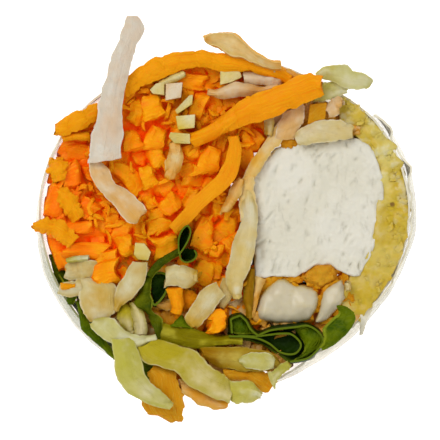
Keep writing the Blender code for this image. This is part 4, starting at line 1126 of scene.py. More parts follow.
def upper_cabbage():
    standing_sticks("upper_cabbage_sticks", "cabbage_warm", ["upper_cabbage"], UPPER_REGION, 2.4, 2.4, 12,
        42.6)
    torn_chunks("upper_cabbage_cuts", "cabbage_warm", UPPER_REGION, [(6.9, 14.6, 1.5, 3.0, 0, 1.0),
        (12.0, 13.8, 2.2, 2.0, 20, 1.0), (12.6, 16.9, 1.8, 2.6, 10, 1.1), (15.8, 15.9, 2.2, 1.6, -10, 1.0)],
        2.3, 2.2, 22, 0.3, 1.2, 1.2)
    dress_flake("cabbage_long_strip", "cabbage", [
        (-14.5, 30.9, -12.9, 30.8, 47.2), (-15.1, 29.1, -11.8, 29.1, 47.8), (-16.1, 26.3, -13.1, 26.3, 48.5),
        (-17.1, 24.2, -13.7, 24.1, 48.8), (-17.4, 22.0, -14.3, 22.2, 49.0), (-18.2, 19.9, -14.8, 20.1, 49.1),
        (-18.7, 17.8, -15.0, 17.8, 49.0), (-19.1, 15.5, -15.1, 15.5, 48.9), (-19.7, 13.4, -15.0, 13.6, 48.7),
        (-20.0, 11.3, -15.4, 11.5, 48.5), (-20.2, 10.2, -15.4, 10.5, 48.4), (-20.3, 9.1, -15.4, 9.8, 48.3)],
        crown=0.1, crease=0.3, along=110, across=11, ragged=0.16, tone=0.7)
    dress_flake("cabbage_strip_end", "cabbage_pink", [
        (-20.1, 9.4, -18.4, 9.2, 47.0), (-20.1, 7.7, -17.0, 7.7, 47.3), (-18.9, 5.5, -16.3, 6.1, 47.6),
        (-17.2, 3.5, -14.9, 5.3, 47.8), (-15.9, 1.8, -13.3, 4.2, 48.0), (-14.3, 0.2, -11.8, 2.6, 48.0),
        (-13.3, 0.2, -11.9, 2.1, 47.9)], thickness=0.9, along=60, tone=0.3)
    dress_flake("cabbage_top_curl", "cabbage_warm", [
        (-3.0, 27.7, -2.8, 27.3, 48.2), (-2.1, 28.2, -1.9, 26.8, 48.6), (-0.6, 28.5, -0.6, 26.3, 49.0),
        (1.0, 28.5, 0.7, 25.3, 49.1), (2.2, 27.9, 2.6, 24.8, 49.2), (3.8, 26.2, 4.0, 24.3, 49.2),
        (5.4, 25.0, 5.5, 23.7, 49.1), (7.0, 24.2, 7.0, 23.4, 49.0), (8.5, 24.0, 8.5, 23.3, 48.8)],
        thickness=0.7, crown=-0.3, along=44, tone=0.9)
    loose_flake("cabbage_pink_sliver", "cabbage_warm", [
        (8.5, 22.8, 8.7, 22.5, 46.6), (9.7, 23.2, 9.9, 22.1, 46.7), (11.2, 22.4, 10.9, 21.6, 46.8),
        (12.9, 22.3, 12.0, 21.8, 46.9)], thickness=0.7)
    loose_flake("cabbage_white_curl", "cabbage_cream", [
        (7.7, 23.9, 8.0, 23.9, 47.3), (7.2, 23.5, 7.8, 23.3, 47.3), (7.4, 22.8, 7.7, 22.7, 47.3)],
        thickness=0.6)
    dress_flake("cabbage_upper_strip", "cabbage_pink", [
        (2.7, 22.8, 3.2, 21.2, 46.0), (4.5, 22.7, 4.5, 21.0, 46.1), (6.1, 22.5, 5.9, 20.9, 46.2),
        (7.1, 22.7, 7.2, 20.5, 46.3), (7.9, 22.7, 8.1, 20.3, 46.4), (8.5, 21.8, 8.4, 21.6, 46.4)],
        thickness=1.1, tone=0.9)
    dress_flake("cabbage_pink_strip", "cabbage_pink", [
        (-2.5, 19.9, -2.4, 19.8, 46.1), (-0.6, 20.3, -0.6, 18.8, 46.2), (1.7, 21.2, 1.5, 19.0, 46.3),
        (4.0, 20.9, 3.9, 19.2, 46.4), (5.9, 20.5, 5.5, 19.5, 46.3), (8.2, 20.9, 8.0, 20.5, 46.2)], crown=0.2)
    dress_flake("cabbage_fan", "cabbage_pink", [
        (9.0, 16.8, 12.0, 17.9, 45.9), (8.5, 15.5, 12.1, 16.3, 46.0), (7.7, 14.0, 11.5, 14.9, 45.8),
        (7.6, 12.8, 10.6, 12.9, 45.5)], thickness=1.2, crown=0.1, crease=0.3, tone=0.6)
    loose_flake("cabbage_fan_sliver", "cabbage_cream", [
        (6.0, 15.5, 7.4, 16.0, 46.0), (6.1, 14.5, 7.4, 14.7, 45.9), (6.3, 13.5, 7.2, 13.5, 45.8)],
        thickness=0.9, tone=0.2)
    loose_flake("carrot_red_bit", "carrot_amber", [
        (8.4, 13.2, 8.8, 11.2, 44.6), (9.8, 13.4, 10.0, 11.6, 44.8), (11.2, 13.2, 11.3, 11.8, 44.6)],
        thickness=0.9, ragged=0.5, tone=0.0)
    dress_flake("cabbage_slab", "cabbage_clear", [
        (10.9, 13.4, 11.2, 12.0, 45.5), (12.0, 14.6, 12.2, 11.9, 45.7), (14.1, 15.5, 14.1, 12.0, 45.8),
        (16.2, 15.7, 16.2, 12.2, 45.8), (18.1, 15.3, 17.9, 12.6, 45.7), (19.4, 14.5, 19.2, 13.0, 45.6)],
        thickness=1.5, along=60, tone=1.0)
    dress_flake("cabbage_pale_green_leaf", "green_pale", [
        (13.7, 22.5, 14.1, 21.9, 47.0), (14.8, 23.5, 15.0, 21.6, 47.2), (16.2, 23.8, 16.5, 21.3, 47.4),
        (18.3, 23.9, 17.8, 20.4, 47.5), (19.3, 23.0, 19.1, 20.1, 47.6), (20.7, 22.7, 20.7, 20.1, 47.5),
        (21.7, 22.1, 21.5, 20.4, 47.4), (22.3, 21.6, 22.2, 21.4, 47.2)], thickness=0.4, crown=0.1, ripple=0.6,
        along=40, ragged=0.2, tone=1.0, soft=0.08)
    loose_flake("cabbage_yellow_layer", "green_pale", [
        (14.9, 21.1, 13.3, 18.3, 46.4), (16.2, 21.4, 15.4, 18.5, 46.5), (17.5, 21.2, 17.1, 19.1, 46.5),
        (18.5, 20.2, 18.3, 19.7, 46.5)], thickness=0.5, ripple=0.4, tone=0.5)
    dress_flake("cabbage_pink_piece", "cabbage_pink", [
        (15.2, 17.3, 15.9, 16.1, 46.4), (15.9, 18.4, 17.0, 16.2, 46.5), (17.0, 19.1, 16.7, 17.0, 46.5),
        (17.9, 18.3, 17.5, 17.9, 46.6)], thickness=1.0, tone=0.3)
    loose_flake("cabbage_splinter", "cabbage_lemon", [
        (-9.9, 21.2, -9.2, 20.7, 46.8), (-7.9, 22.3, -7.2, 21.3, 46.9), (-6.1, 22.9, -5.8, 22.2, 46.9)],
        thickness=0.7, tone=1.0)
    loose_flake("cabbage_pale_end", "cabbage_warm", [
        (-7.6, 12.0, -7.2, 12.0, 46.2), (-8.3, 10.2, -6.2, 10.2, 46.3), (-8.9, 8.8, -6.4, 8.8, 46.3),
        (-8.3, 7.0, -8.0, 6.9, 46.4)], thickness=1.6, crown=0.3)
    loose_flake("cabbage_pink_strand", "cabbage_warm", [
        (2.3, 7.0, 2.9, 6.4, 46.2), (0.9, 5.4, 2.6, 4.6, 46.3), (0.2, 3.3, 1.8, 3.5, 46.3),
        (-0.6, 1.4, 0.7, 2.3, 46.4)], thickness=0.9, tone=0.8)
    for node, look, outline, top, height, tilt, tone in (
            ("cabbage_upper_block", "cabbage_lemon", [(-0.6, 23.1), (1.6, 23.9), (2.3, 23.1), (2.7, 22.0),
                                                      (1.1, 21.2), (-0.6, 20.8)],
             46.9, 1.8, (0.0, 0.2), 1.0),
            ("cabbage_cube", "cabbage_pink", [(-8.7, 21.0), (-6.2, 21.1), (-6.4, 18.9), (-8.8, 18.5)],
             47.9, 3.0, (0.0, 0.1), 0.8),
            ("cabbage_pale_wedge", "cabbage_lemon", [(-11.1, 20.1), (-10.2, 21.0), (-8.9, 21.3), (-8.9, 19.3),
                                                     (-10.7, 19.5)],
             47.3, 2.6, (0.1, 0.0), 0.9),
            ("cabbage_cut_upper", "cabbage_lemon", [(-7.3, 17.0), (-5.2, 19.2), (-4.6, 19.3), (-4.8, 17.9),
                                                    (-7.0, 16.4)],
             47.8, 3.2, (0.1, 0.1), 0.9),
            ("cabbage_cut_middle", "cabbage_lemon", [(-7.2, 16.1), (-4.3, 16.4), (-4.4, 14.4), (-6.9, 14.1)],
             47.9, 3.2, (0.1, 0.0), 0.9),
            ("cabbage_cut_lower", "cabbage_lemon", [(-8.1, 13.7), (-5.1, 13.5), (-5.1, 12.0), (-7.5, 12.1),
                                                    (-8.3, 13.0)],
             47.7, 3.0, (0.1, 0.1), 0.8)):
        finished(cut_block(node + "_cut", outline, top, height, tilt, 0.1, tone), look, [node])
    dress_flake("cabbage_band", "cabbage_band", [
        (8.0, 15.0, 9.4, 13.7, 45.4), (6.8, 13.1, 8.7, 12.2, 45.5), (5.4, 11.1, 7.3, 11.0, 45.5),
        (4.2, 9.2, 6.0, 9.2, 45.6), (3.1, 7.4, 5.1, 7.7, 45.6), (2.5, 5.6, 4.6, 6.2, 45.6),
        (2.4, 3.1, 4.8, 3.3, 45.7), (2.4, 0.6, 5.0, 0.6, 45.7)], thickness=1.5, crown=0.05, crease=0.2,
        along=80, tone=0.8)
    loose_flake("cabbage_band_end", "cabbage_clear", [
        (3.4, 5.2, 3.9, 4.9, 45.8), (2.7, 3.0, 4.6, 2.6, 46.1), (2.6, 0.6, 5.0, 0.6, 46.3),
        (1.9, -1.5, 4.9, -1.1, 46.5), (1.1, -3.6, 4.6, -3.6, 46.7), (0.5, -6.3, 3.9, -6.5, 46.8),
        (0.2, -8.2, 3.0, -8.5, 46.8), (0.9, -9.9, 2.6, -10.1, 46.6), (1.9, -11.0, 2.2, -11.0, 46.4)],
        thickness=1.4, crown=0.15, crease=0.35, along=80, tone=0.8)
    band = stand_sheet("cabbage_band_core", [(8.2, 17.0), (8.0, 14.6), (7.2, 12.6), (5.8, 10.6),
        (4.4, 8.6), (3.6, 6.0), (3.4, 2.5), (3.2, -1.0), (2.6, -5.0), (2.0, -8.0)], 0.0, 45.2, 1.6,
        ripple=0.3, along=60, across=14)
    finished(band, "cabbage_warm", [])


def lower_cabbage():
    standing_sticks("lower_cabbage_sticks", "cabbage_warm", ["lower_cabbage"], LOWER_REGION, 3.0, 2.9, 13,
        42.4)
    torn_chunks("lower_cabbage_cuts", "cabbage_warm", LOWER_REGION, [(-9.6, -11.6, 3.0, 2.6, 10, 0.9)], 2.7,
        2.8, 23, 0.0, 0.9, 0.8)
    dress_flake("cabbage_flap_upper", "cabbage_cream", [
        (-23.6, -6.3, -23.8, -8.1, 45.6), (-23.1, -5.7, -22.9, -8.6, 45.8), (-21.0, -5.5, -21.4, -8.1, 46.0),
        (-19.5, -5.5, -20.1, -7.9, 45.9), (-18.4, -6.3, -18.6, -8.0, 45.8)], tone=0.8)
    loose_flake("cabbage_yellow_edge", "green_pale", [
        (-23.8, -5.3, -23.3, -5.7, 46.6), (-22.2, -4.8, -21.8, -5.6, 46.8), (-20.1, -4.7, -20.5, -5.4, 46.5)],
        thickness=0.6, tone=1.0)
    dress_flake("cabbage_crescent", "cabbage_cream", [
        (-24.5, -9.0, -24.9, -10.6, 45.6), (-22.7, -8.5, -23.1, -10.9, 46.0),
        (-21.5, -8.2, -21.5, -10.5, 45.8)], tone=0.8)
    loose_flake("carrot_on_crescent", "carrot_light", [
        (-24.4, -8.8, -24.4, -9.8, 46.3), (-23.4, -8.9, -23.4, -9.8, 46.6), (-22.2, -9.0, -22.4, -9.5, 46.5)],
        thickness=0.4, tone=1.0)
    dress_flake("cabbage_square_piece", "cabbage_cream", [
        (-22.2, -8.3, -19.3, -8.1, 45.6), (-21.8, -9.5, -16.2, -9.4, 46.0),
        (-21.8, -11.2, -16.2, -11.2, 46.2), (-21.2, -12.9, -16.3, -12.9, 46.3),
        (-20.4, -14.1, -17.0, -13.7, 46.2), (-20.1, -14.5, -18.0, -14.2, 46.0)], crown=0.15, tone=0.5,
        across=10)
    dress_flake("cabbage_diagonal_strip", "cabbage_cream", [
        (-13.7, -5.7, -11.4, -5.7, 47.4), (-14.5, -7.0, -11.5, -7.4, 47.5), (-15.1, -8.0, -12.2, -9.2, 47.6),
        (-15.9, -9.3, -13.6, -11.0, 47.4), (-16.3, -11.2, -15.1, -12.0, 47.1),
        (-16.3, -12.8, -16.1, -13.0, 46.6)], crown=0.15, tone=0.9)
    dress_flake("cabbage_boat_strip", "green_pale", [
        (-18.9, -14.5, -20.1, -14.9, 47.0), (-16.8, -14.1, -19.6, -16.0, 47.3),
        (-15.8, -15.0, -18.4, -17.0, 47.5), (-14.9, -15.9, -16.8, -17.8, 47.7),
        (-13.8, -16.5, -15.3, -18.4, 47.7), (-12.3, -16.7, -13.4, -18.5, 47.8),
        (-10.9, -16.8, -11.7, -17.7, 47.6), (-10.1, -16.8, -10.2, -17.0, 47.5)], crown=0.15, along=60,
        tone=1.1)
    sliver = flake("cabbage_green_sliver_cut", [(-15.5, -12.0, -14.7, -12.0, 45.6),
        (-16.0, -13.3, -14.0, -12.9, 45.9), (-15.8, -14.6, -13.7, -14.1, 46.2),
        (-15.0, -15.5, -13.6, -15.6, 46.0), (-14.0, -16.2, -13.6, -16.4, 45.8)], crown=0.15, crease=0.4,
        tone=0.3)
    second = flake("pale_sliver", [(-14.3, -11.6, -13.4, -11.7, 45.9), (-13.9, -12.9, -12.4, -12.9, 46.1),
        (-13.7, -14.1, -11.8, -14.1, 46.4), (-13.5, -15.6, -11.5, -15.6, 46.3),
        (-13.4, -16.5, -11.6, -16.6, 46.2)], crown=0.15, crease=0.4, tone=1.7)
    finished(join([sliver, second], "cabbage_green_sliver_cut"), "green_warm", ["cabbage_green_sliver"])
    dress_flake("cabbage_white_chunk", "cabbage_cream", [
        (-8.1, -6.7, -9.1, -9.4, 47.2), (-7.3, -6.1, -7.4, -9.3, 47.5), (-5.3, -6.5, -5.8, -9.5, 47.5),
        (-4.0, -7.5, -4.3, -8.0, 47.4)], thickness=1.8, crown=0.3, tone=1.0)
    finished(cut_block("cabbage_square_end", [(-13.3, -2.8), (-11.9, -2.9), (-10.9, -4.2), (-11.4, -5.5),
                       (-12.9, -5.3), (-13.5, -4.6)], 47.6, 3.0, (0.1, 0.1), 0.1, 0.5), "cabbage_lemon", [])
    loose_flake("cabbage_tan_bit", "cabbage_warm", [
        (-10.2, -11.8, -10.2, -12.2, 45.4), (-9.0, -11.4, -8.8, -12.9, 45.5),
        (-7.5, -11.2, -7.5, -13.0, 45.6)], thickness=0.8)
    dress_flake("cabbage_lower_strip", "cabbage_cream", [
        (-1.4, -8.5, 0.1, -10.8, 46.9), (-3.3, -9.9, -0.8, -11.9, 47.1), (-4.4, -11.6, -1.8, -13.2, 47.4),
        (-5.8, -13.8, -3.3, -14.9, 47.3), (-4.8, -15.2, -4.0, -15.3, 47.2)], crown=0.15, tone=0.6)
    dress_strip("cabbage_short_strip", "cabbage_cream", [
        (0.6, -8.2, 45.6, 1.6), (0.2, -10.4, 45.8, 2.1), (-0.4, -12.4, 45.6, 1.0)], 0.9, crown=0.2)
    loose_flake("cabbage_amber_sliver", "yellow_green", [
        (3.9, -6.6, 4.5, -6.7, 45.6), (3.3, -8.9, 4.5, -8.5, 45.7), (2.9, -10.8, 4.3, -10.6, 45.8),
        (3.4, -12.5, 4.1, -12.9, 45.6), (3.7, -14.1, 3.9, -14.2, 45.5)], thickness=0.9, tone=0.0)
    loose_flake("cabbage_thin_sliver", "cabbage_warm", [
        (4.7, -7.8, 6.3, -8.3, 45.0), (4.6, -9.5, 5.4, -10.3, 45.1), (4.5, -11.8, 4.8, -12.0, 45.1),
        (3.9, -13.9, 4.3, -14.1, 45.1)], thickness=0.8, tone=0.9)
    torn_chunks("carrot_bits_under_ribs", "carrot_amber", BITS_REGION, [(18.4, -9.0, 1.8, 1.8, 20, 0.9),
        (19.0, -11.0, 1.4, 2.0, 0, 0.8), (10.6, -8.4, 2.0, 1.4, 10, 0.5)], 1.5, 1.9, 31, 0.0, 1.0, 0.5)
    finished(domed_block("white_rib_large_cut", [(6.3, -9.7), (8.1, -8.3), (9.1, -8.2), (10.9, -9.2),
        (12.2, -9.2), (14.0, -9.9), (14.4, -11.2), (14.0, -12.9), (12.9, -14.4), (11.2, -14.9),
        (7.8, -15.0), (5.2, -14.4), (4.8, -13.1), (5.4, -10.9)], CUT_HEIGHT, 1.7, 2.2, 0.22, 0.12), "rib",
        ["white_rib_large"], 80.0)
    finished(domed_block("white_rib_slanted_cut", [(14.8, -10.0), (17.6, -8.3), (18.2, -8.9), (18.3, -11.1),
        (17.6, -12.2), (16.8, -13.0), (15.4, -14.6), (13.6, -14.9), (14.4, -12.9), (14.7, -11.4)],
        CUT_HEIGHT + 0.4, 1.2, 1.3, 0.2, 0.12), "rib", ["white_rib_slanted"], 80.0)
    loose_flake("cabbage_white_bit", "cabbage_cream", [
        (18.2, -8.8, 18.8, -8.8, 46.2), (18.1, -9.4, 19.1, -9.3, 46.2), (18.5, -9.9, 18.8, -9.9, 46.2)],
        thickness=0.8, tone=1.0)


def green_strips():
    dress_flake("green_strip_left", "green", [
        (-17.0, -17.3, -13.4, -17.3, 48.2), (-16.5, -18.8, -12.9, -18.8, 48.6),
        (-16.3, -20.9, -12.2, -20.9, 48.9), (-16.0, -22.8, -11.6, -22.8, 48.9),
        (-14.7, -24.6, -10.2, -24.4, 48.8), (-12.4, -26.0, -8.8, -25.6, 48.5),
        (-10.4, -26.9, -7.9, -26.4, 48.0), (-8.3, -27.4, -7.5, -27.1, 47.4)], thickness=1.1, crown=0.25,
        crease=0.5, along=70, across=11, ragged=0.12)
    dress_flake("green_strip_large", "green_warm", [
        (-10.1, -17.5, -13.0, -18.6, 47.8), (-8.3, -17.8, -12.3, -20.4, 48.1),
        (-6.0, -18.5, -9.4, -21.4, 48.4), (-4.2, -19.0, -7.0, -22.1, 48.5), (-2.4, -20.9, -5.6, -23.8, 48.5),
        (-0.8, -22.2, -3.1, -25.2, 48.4), (0.2, -22.7, -1.2, -26.1, 48.1), (1.0, -24.2, 0.9, -26.8, 47.8)],
        thickness=1.3, crown=0.3, crease=0.6, along=70, across=11, ragged=0.14, tone=0.4)
    loose_flake("cabbage_tan_strip", "cabbage_warm", [
        (-6.9, -23.2, -6.2, -25.2, 46.4), (-5.0, -24.0, -4.6, -26.2, 46.5), (-3.1, -25.1, -3.3, -27.2, 46.6),
        (-1.2, -25.9, -1.4, -27.7, 46.5), (0.9, -26.3, 0.4, -27.5, 46.5)], thickness=1.0, tone=0.1)
    dress_flake("green_strip_yellow", "yellow_green", [
        (-4.0, -18.5, -1.9, -20.4, 46.4), (-1.4, -18.4, -0.6, -21.4, 46.6), (1.5, -18.4, 1.1, -21.7, 46.8),
        (3.8, -18.6, 3.6, -22.1, 46.8), (6.6, -19.1, 5.9, -22.0, 46.8), (7.8, -20.2, 7.6, -21.7, 46.5),
        (8.5, -21.4, 8.3, -21.6, 46.3)], thickness=1.1, crown=0.2, crease=0.4, along=60, tone=0.5)
    loose_flake("cabbage_white_insert", "green_pale", [
        (1.9, -20.2, 2.6, -20.7, 47.4), (4.0, -19.2, 3.6, -21.6, 47.6), (6.6, -19.3, 5.9, -21.8, 47.6),
        (7.5, -20.1, 7.3, -21.6, 47.4)], thickness=0.6, tone=0.3)
    dress_flake("green_strip_end", "green_pale", [
        (0.7, -23.4, 1.3, -26.4, 47.6), (1.9, -23.5, 2.1, -26.8, 47.8), (3.6, -23.4, 3.8, -26.8, 48.0),
        (4.5, -24.4, 4.9, -26.1, 47.9), (5.4, -25.5, 5.3, -25.6, 47.7)], thickness=1.1, crown=0.2, crease=0.4,
        tone=0.3)
    dress_flake("green_strip_small", "green", [
        (9.3, -20.5, 10.1, -21.4, 47.6), (8.5, -21.0, 9.0, -22.3, 47.9), (7.4, -22.0, 8.0, -23.2, 47.9),
        (6.5, -22.1, 7.6, -24.8, 47.7)], thickness=0.6, ragged=0.3, ripple=0.3, tone=0.1)
    dress_flake("green_stem_band", "stem", [
        (-9.6, -14.6, -10.0, -17.3, 45.8), (-8.1, -15.2, -8.3, -17.7, 46.0), (-6.4, -15.5, -6.2, -18.2, 46.1),
        (-4.8, -15.6, -4.6, -18.6, 46.2), (-3.1, -16.3, -3.3, -18.5, 46.3), (-0.6, -16.9, -0.6, -18.1, 46.3),
        (0.9, -16.8, 0.9, -17.9, 46.1), (3.0, -17.0, 2.6, -17.9, 46.0)], thickness=1.3, crown=0.2, crease=0.4,
        along=60, tone=-0.15)


def leaf_against_film():
    """A leaf pressed flat against the inside of the film, seen through it at the lower left."""
    piece = new_grid("leaf_against_film", 90, 26)
    for vert in piece.data.vertices:
        u = vert.co.x + 0.5
        v = vert.co.y + 0.5
        angle = math.radians(190.0 + 50.0 * u)
        low = 34.0 + 4.0 * abs(2.0 * u - 1.0) ** 1.6 + 1.2 * rough(u * 6.0, 2.0, 5.0, 1.0)
        high = 43.4 - 5.0 * max(0.0, 0.2 - u) * 5.0 + 0.5 * rough(u * 9.0, 7.0, 5.0, 1.0)
        height = low + (high - low) * v
        radius = wrap_radius(angle, height) - 0.1 + 0.18 * rough(u * 12.0, v * 5.0, 3.0, 1.0)
        vert.co = turned(angle, radius, height) * MM
    apply_modifier(piece, "SOLIDIFY", thickness=0.25 * MM, offset=0.0)
    finished(piece, "leaf_mid", [], 60.0)


def leaves():
    leaf_against_film()
    loose_flake("leaf_left_floor", "leaf_mid", [
        (-26.3, -4.6, -23.4, -4.4, 41.6), (-26.0, -6.4, -22.9, -6.0, 41.7), (-25.5, -8.2, -22.4, -7.6, 41.6),
        (-24.7, -9.8, -21.9, -9.0, 41.4)], thickness=0.4, ripple=0.2, tone=0.3)
    outer = stand_sheet("leaf_fold_outer_blade", [(4.6, -16.6), (5.7, -16.1), (6.8, -15.6), (8.7, -15.3),
        (10.8, -15.1), (12.5, -15.0), (14.1, -15.8), (15.0, -16.9), (14.9, -17.9), (14.1, -19.1),
        (12.9, -20.2), (11.4, -20.7), (9.9, -20.9)], 43.4, 47.4, 0.28, -0.3)
    finished(outer, "leaf", ["leaf_fold_outer"], 60.0)
    inner = stand_sheet("leaf_fold_inner_blade", [(2.1, -16.5), (4.5, -16.7), (6.3, -16.5), (8.5, -16.2),
        (10.1, -16.3), (11.4, -17.3), (11.7, -18.3), (10.9, -19.4), (9.7, -19.7), (8.2, -19.3),
        (6.6, -18.0), (4.5, -17.2), (0.7, -17.0)], 42.9, 47.3, 0.28, -0.2)
    finished(inner, "leaf", ["leaf_fold_inner"], 60.0)
    flap = stand_sheet("leaf_left_flap_blade", [(0.8, -16.4), (0.7, -15.4), (0.7, -14.2), (1.4, -13.6),
        (2.6, -13.4), (3.4, -14.1), (4.2, -15.4), (5.4, -16.4)], 43.6, 47.6, 0.28, -0.4)
    finished(flap, "leaf", ["leaf_left_flap"], 60.0)
    for name, look, edges, tone in (
            ("leaf_fold_floor", "leaf", [
                (0.9, -13.8, 0.5, -16.8, 45.0), (2.6, -13.7, 3.0, -17.4, 45.0), (5.4, -16.2, 5.4, -18.0, 44.9),
                (8.6, -15.4, 8.0, -19.6, 44.8), (12.0, -15.3, 10.0, -20.9, 44.9),
                (14.4, -16.4, 12.9, -20.2, 45.2), (14.8, -17.4, 14.4, -18.8, 45.4)], 0.0),
            ("leaf_fold_face", "leaf_mid", [
                (10.4, -15.4, 11.4, -16.6, 45.9), (12.6, -15.3, 12.2, -18.2, 46.3),
                (14.5, -16.6, 11.8, -19.4, 46.5), (14.6, -18.0, 10.9, -20.2, 46.4),
                (13.2, -19.6, 10.0, -20.8, 46.1)], 0.6),
            ("leaf_flap_face", "leaf_mid", [
                (0.9, -13.9, 0.8, -16.2, 45.9), (1.6, -13.7, 1.6, -16.4, 46.2), (2.4, -13.7, 3.0, -16.6, 46.3),
                (3.2, -14.4, 4.0, -16.5, 46.1), (4.0, -15.5, 4.8, -16.5, 45.9)], 0.3)):
        piece = flake(name, edges, thickness=0.35, crown=0.0, ripple=0.35, tone=tone, along=36)
        finished(piece, look, [], 60.0)
    dress_flake("leaf_right", "leaf_mid", [
        (16.9, -12.4, 17.3, -12.9, 47.6), (18.3, -12.6, 17.3, -13.5, 47.7), (19.4, -13.4, 16.2, -14.3, 47.8),
        (19.5, -14.5, 14.9, -15.6, 47.9), (18.9, -15.7, 15.0, -16.5, 48.0), (17.5, -17.0, 15.0, -17.5, 47.9),
        (16.0, -18.1, 14.8, -18.1, 47.9), (14.6, -18.7, 14.5, -18.6, 47.8)], thickness=0.4, crown=-0.4,
        ripple=0.3, along=44, across=10, tone=0.4, soft=0.08)
    dress_flake("leaf_crumpled", "leaf_light", [
        (-11.5, -7.4, -10.2, -7.3, 46.6), (-12.1, -8.5, -10.8, -8.2, 46.8),
        (-12.7, -10.3, -10.9, -10.3, 46.9), (-13.4, -11.8, -10.6, -11.4, 46.9),
        (-11.8, -13.1, -10.8, -12.9, 46.9), (-11.3, -14.1, -9.5, -14.1, 46.7),
        (-10.7, -15.6, -9.2, -15.4, 46.6), (-10.1, -17.3, -9.6, -17.3, 46.4)], thickness=0.4, crown=0.2,
        ripple=0.9, along=60, across=10, ragged=0.3, soft=0.08)
    hole = flake("leaf_dark_hollow", [(-10.9, -7.6, -8.6, -7.6, 45.8), (-10.9, -9.3, -8.3, -9.2, 45.7),
        (-10.7, -11.0, -9.0, -11.0, 45.7), (-10.6, -12.4, -10.0, -12.4, 45.7)], thickness=0.4, crown=-0.2,
        tone=0.0)
    finished(hole, "leaf", [], 60.0)
    rim = stand_sheet("leaf_hollow_rim", [(-10.8, -7.5), (-9.8, -7.3), (-8.7, -7.6), (-8.4, -9.0),
        (-9.0, -10.8), (-10.2, -12.0), (-10.8, -11.6)], 44.4, 47.0, 0.3)
    finished(rim, "leaf", [], 60.0)
    dress_flake("leaf_under_paper", "leaf_mid", [
        (-22.1, -11.4, -21.7, -12.0, 45.0), (-21.8, -13.7, -20.7, -14.1, 45.2),
        (-21.4, -15.7, -19.7, -15.8, 45.3), (-19.9, -17.3, -18.5, -16.9, 45.4),
        (-18.0, -19.0, -17.2, -18.3, 45.3), (-16.5, -20.4, -16.2, -20.1, 45.2)], thickness=0.4, crown=0.1,
        ripple=0.2, tone=0.2)
    loose_flake("leaf_between_strips", "leaf_mid", [
        (-14.2, -17.6, -10.4, -17.8, 45.8), (-13.6, -20.4, -8.6, -20.2, 45.8),
        (-12.8, -22.6, -8.2, -22.2, 45.6), (-11.6, -24.0, -9.4, -23.8, 45.4)], thickness=0.4, tone=0.1)
    loose_flake("leaf_bit", "leaf_mid", [
        (-23.7, -10.9, -22.1, -10.9, 45.2), (-23.5, -12.0, -22.7, -12.1, 45.2)], thickness=0.4)
    loose_flake("leaf_triangle", "leaf_mid", [
        (-6.4, -13.7, -6.3, -13.7, 46.8), (-7.2, -14.5, -5.6, -14.6, 46.7), (-8.0, -15.2, -4.7, -15.7, 46.6)],
        thickness=0.4)
    loop = stand_sheet("leaf_small_loop_blade", [(-6.7, -4.5), (-6.8, -3.2), (-6.7, -1.9), (-6.1, -0.7),
        (-5.4, -0.3), (-5.0, -1.1), (-5.3, -2.3), (-6.0, -3.6), (-6.6, -4.5), (-6.4, -5.3), (-5.6, -5.7),
        (-4.6, -5.4), (-4.1, -4.6), (-4.4, -3.9)], 44.8, 49.0, 0.24, 0.0, 0.05, 90)
    finished(loop, "leaf", ["leaf_small_loop"], 60.0)
    for name, edges in (
            ("leaf_loop_inside", [
                (-6.5, -3.9, -6.4, -4.1, 47.0), (-6.5, -2.2, -5.6, -2.6, 47.0),
                (-6.0, -1.0, -5.3, -1.4, 47.1), (-5.6, -0.6, -5.4, -0.7, 47.1)]),
            ("leaf_loop_inside_lower", [
                (-6.4, -4.6, -6.2, -5.2, 46.6), (-5.8, -3.8, -5.6, -5.5, 46.6),
                (-4.9, -3.8, -4.8, -5.3, 46.6), (-4.4, -4.1, -4.3, -4.7, 46.6)])):
        finished(flake(name, edges, thickness=0.4, crown=-0.2, tone=0.0), "leaf", [], 60.0)
    dress_flake("leaf_stem", "leaf_light", [
        (-6.8, -3.6, -6.6, -4.6, 47.9), (-8.8, -4.7, -8.6, -5.8, 47.9), (-10.4, -5.9, -10.0, -7.1, 47.8),
        (-11.7, -7.6, -10.7, -8.0, 47.6)], thickness=0.6, crown=0.2)


# Stage, light and camera

def stage_and_light():
    """A pale table, three soft lamps and an even room."""
    clear_choice()
    bpy.ops.mesh.primitive_plane_add(size=3.0, location=(0.0, 0.0, 0.0))
    floor = bpy.context.object
    floor.name = "floor"
    floor.data.materials.append(floor_finish())
    floor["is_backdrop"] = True
    for name, spot, size, power in (("soft_light_high_left", (-0.35, 0.35, 0.75), 0.55, 4.3),
                                    ("soft_light_right", (0.6, -0.1, 0.6), 0.6, 1.5),
                                    ("soft_light_front", (0.0, -0.7, 0.5), 0.6, 1.2)):
        lamp = bpy.data.lights.new(name, "AREA")
        lamp.size = size
        lamp.energy = power
        holder = bpy.data.objects.new(name, lamp)
        bpy.context.scene.collection.objects.link(holder)
        holder.location = spot
        holder.rotation_euler = (Vector((0.0, 0.0, 0.03)) - Vector(spot)).to_track_quat("-Z", "Y").to_euler()
    world = bpy.data.worlds.new("soft_room")
    bpy.context.scene.world = world
    world.use_nodes = True
    background = world.node_tree.nodes["Background"]
    background.inputs["Color"].default_value = (1.0, 1.0, 1.0, 1.0)
    background.inputs["Strength"].default_value = ROOM_LIGHT


def camera_overhead():
    """A camera straight above the cut face, as the roll is seen in the picture."""
    lens = bpy.data.cameras.new("camera")
    lens.sensor_width = 36.0
    lens.lens = 36.0 * CAMERA_DISTANCE / (PICTURE_WIDTH * MM)
    holder = bpy.data.objects.new("camera", lens)
    bpy.context.scene.collection.objects.link(holder)
    holder.location = (PICTURE_MIDDLE[0] * MM, PICTURE_MIDDLE[1] * MM, 0.046 + CAMERA_DISTANCE)
    bpy.context.scene.camera = holder
    bpy.context.scene.view_settings.view_transform = "Standard"


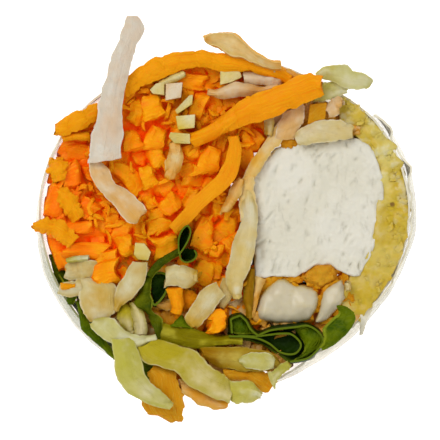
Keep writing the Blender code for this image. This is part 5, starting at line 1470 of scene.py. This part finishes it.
camera_overhead()
stage_and_light()
rice_paper()
tofu_block()
seasoned_layer()
carrots()
upper_cabbage()
lower_cabbage()
green_strips()
leaves()
dressed_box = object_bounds()
[[list(corner) for corner in box] for box in (cad_box, dressed_box)]
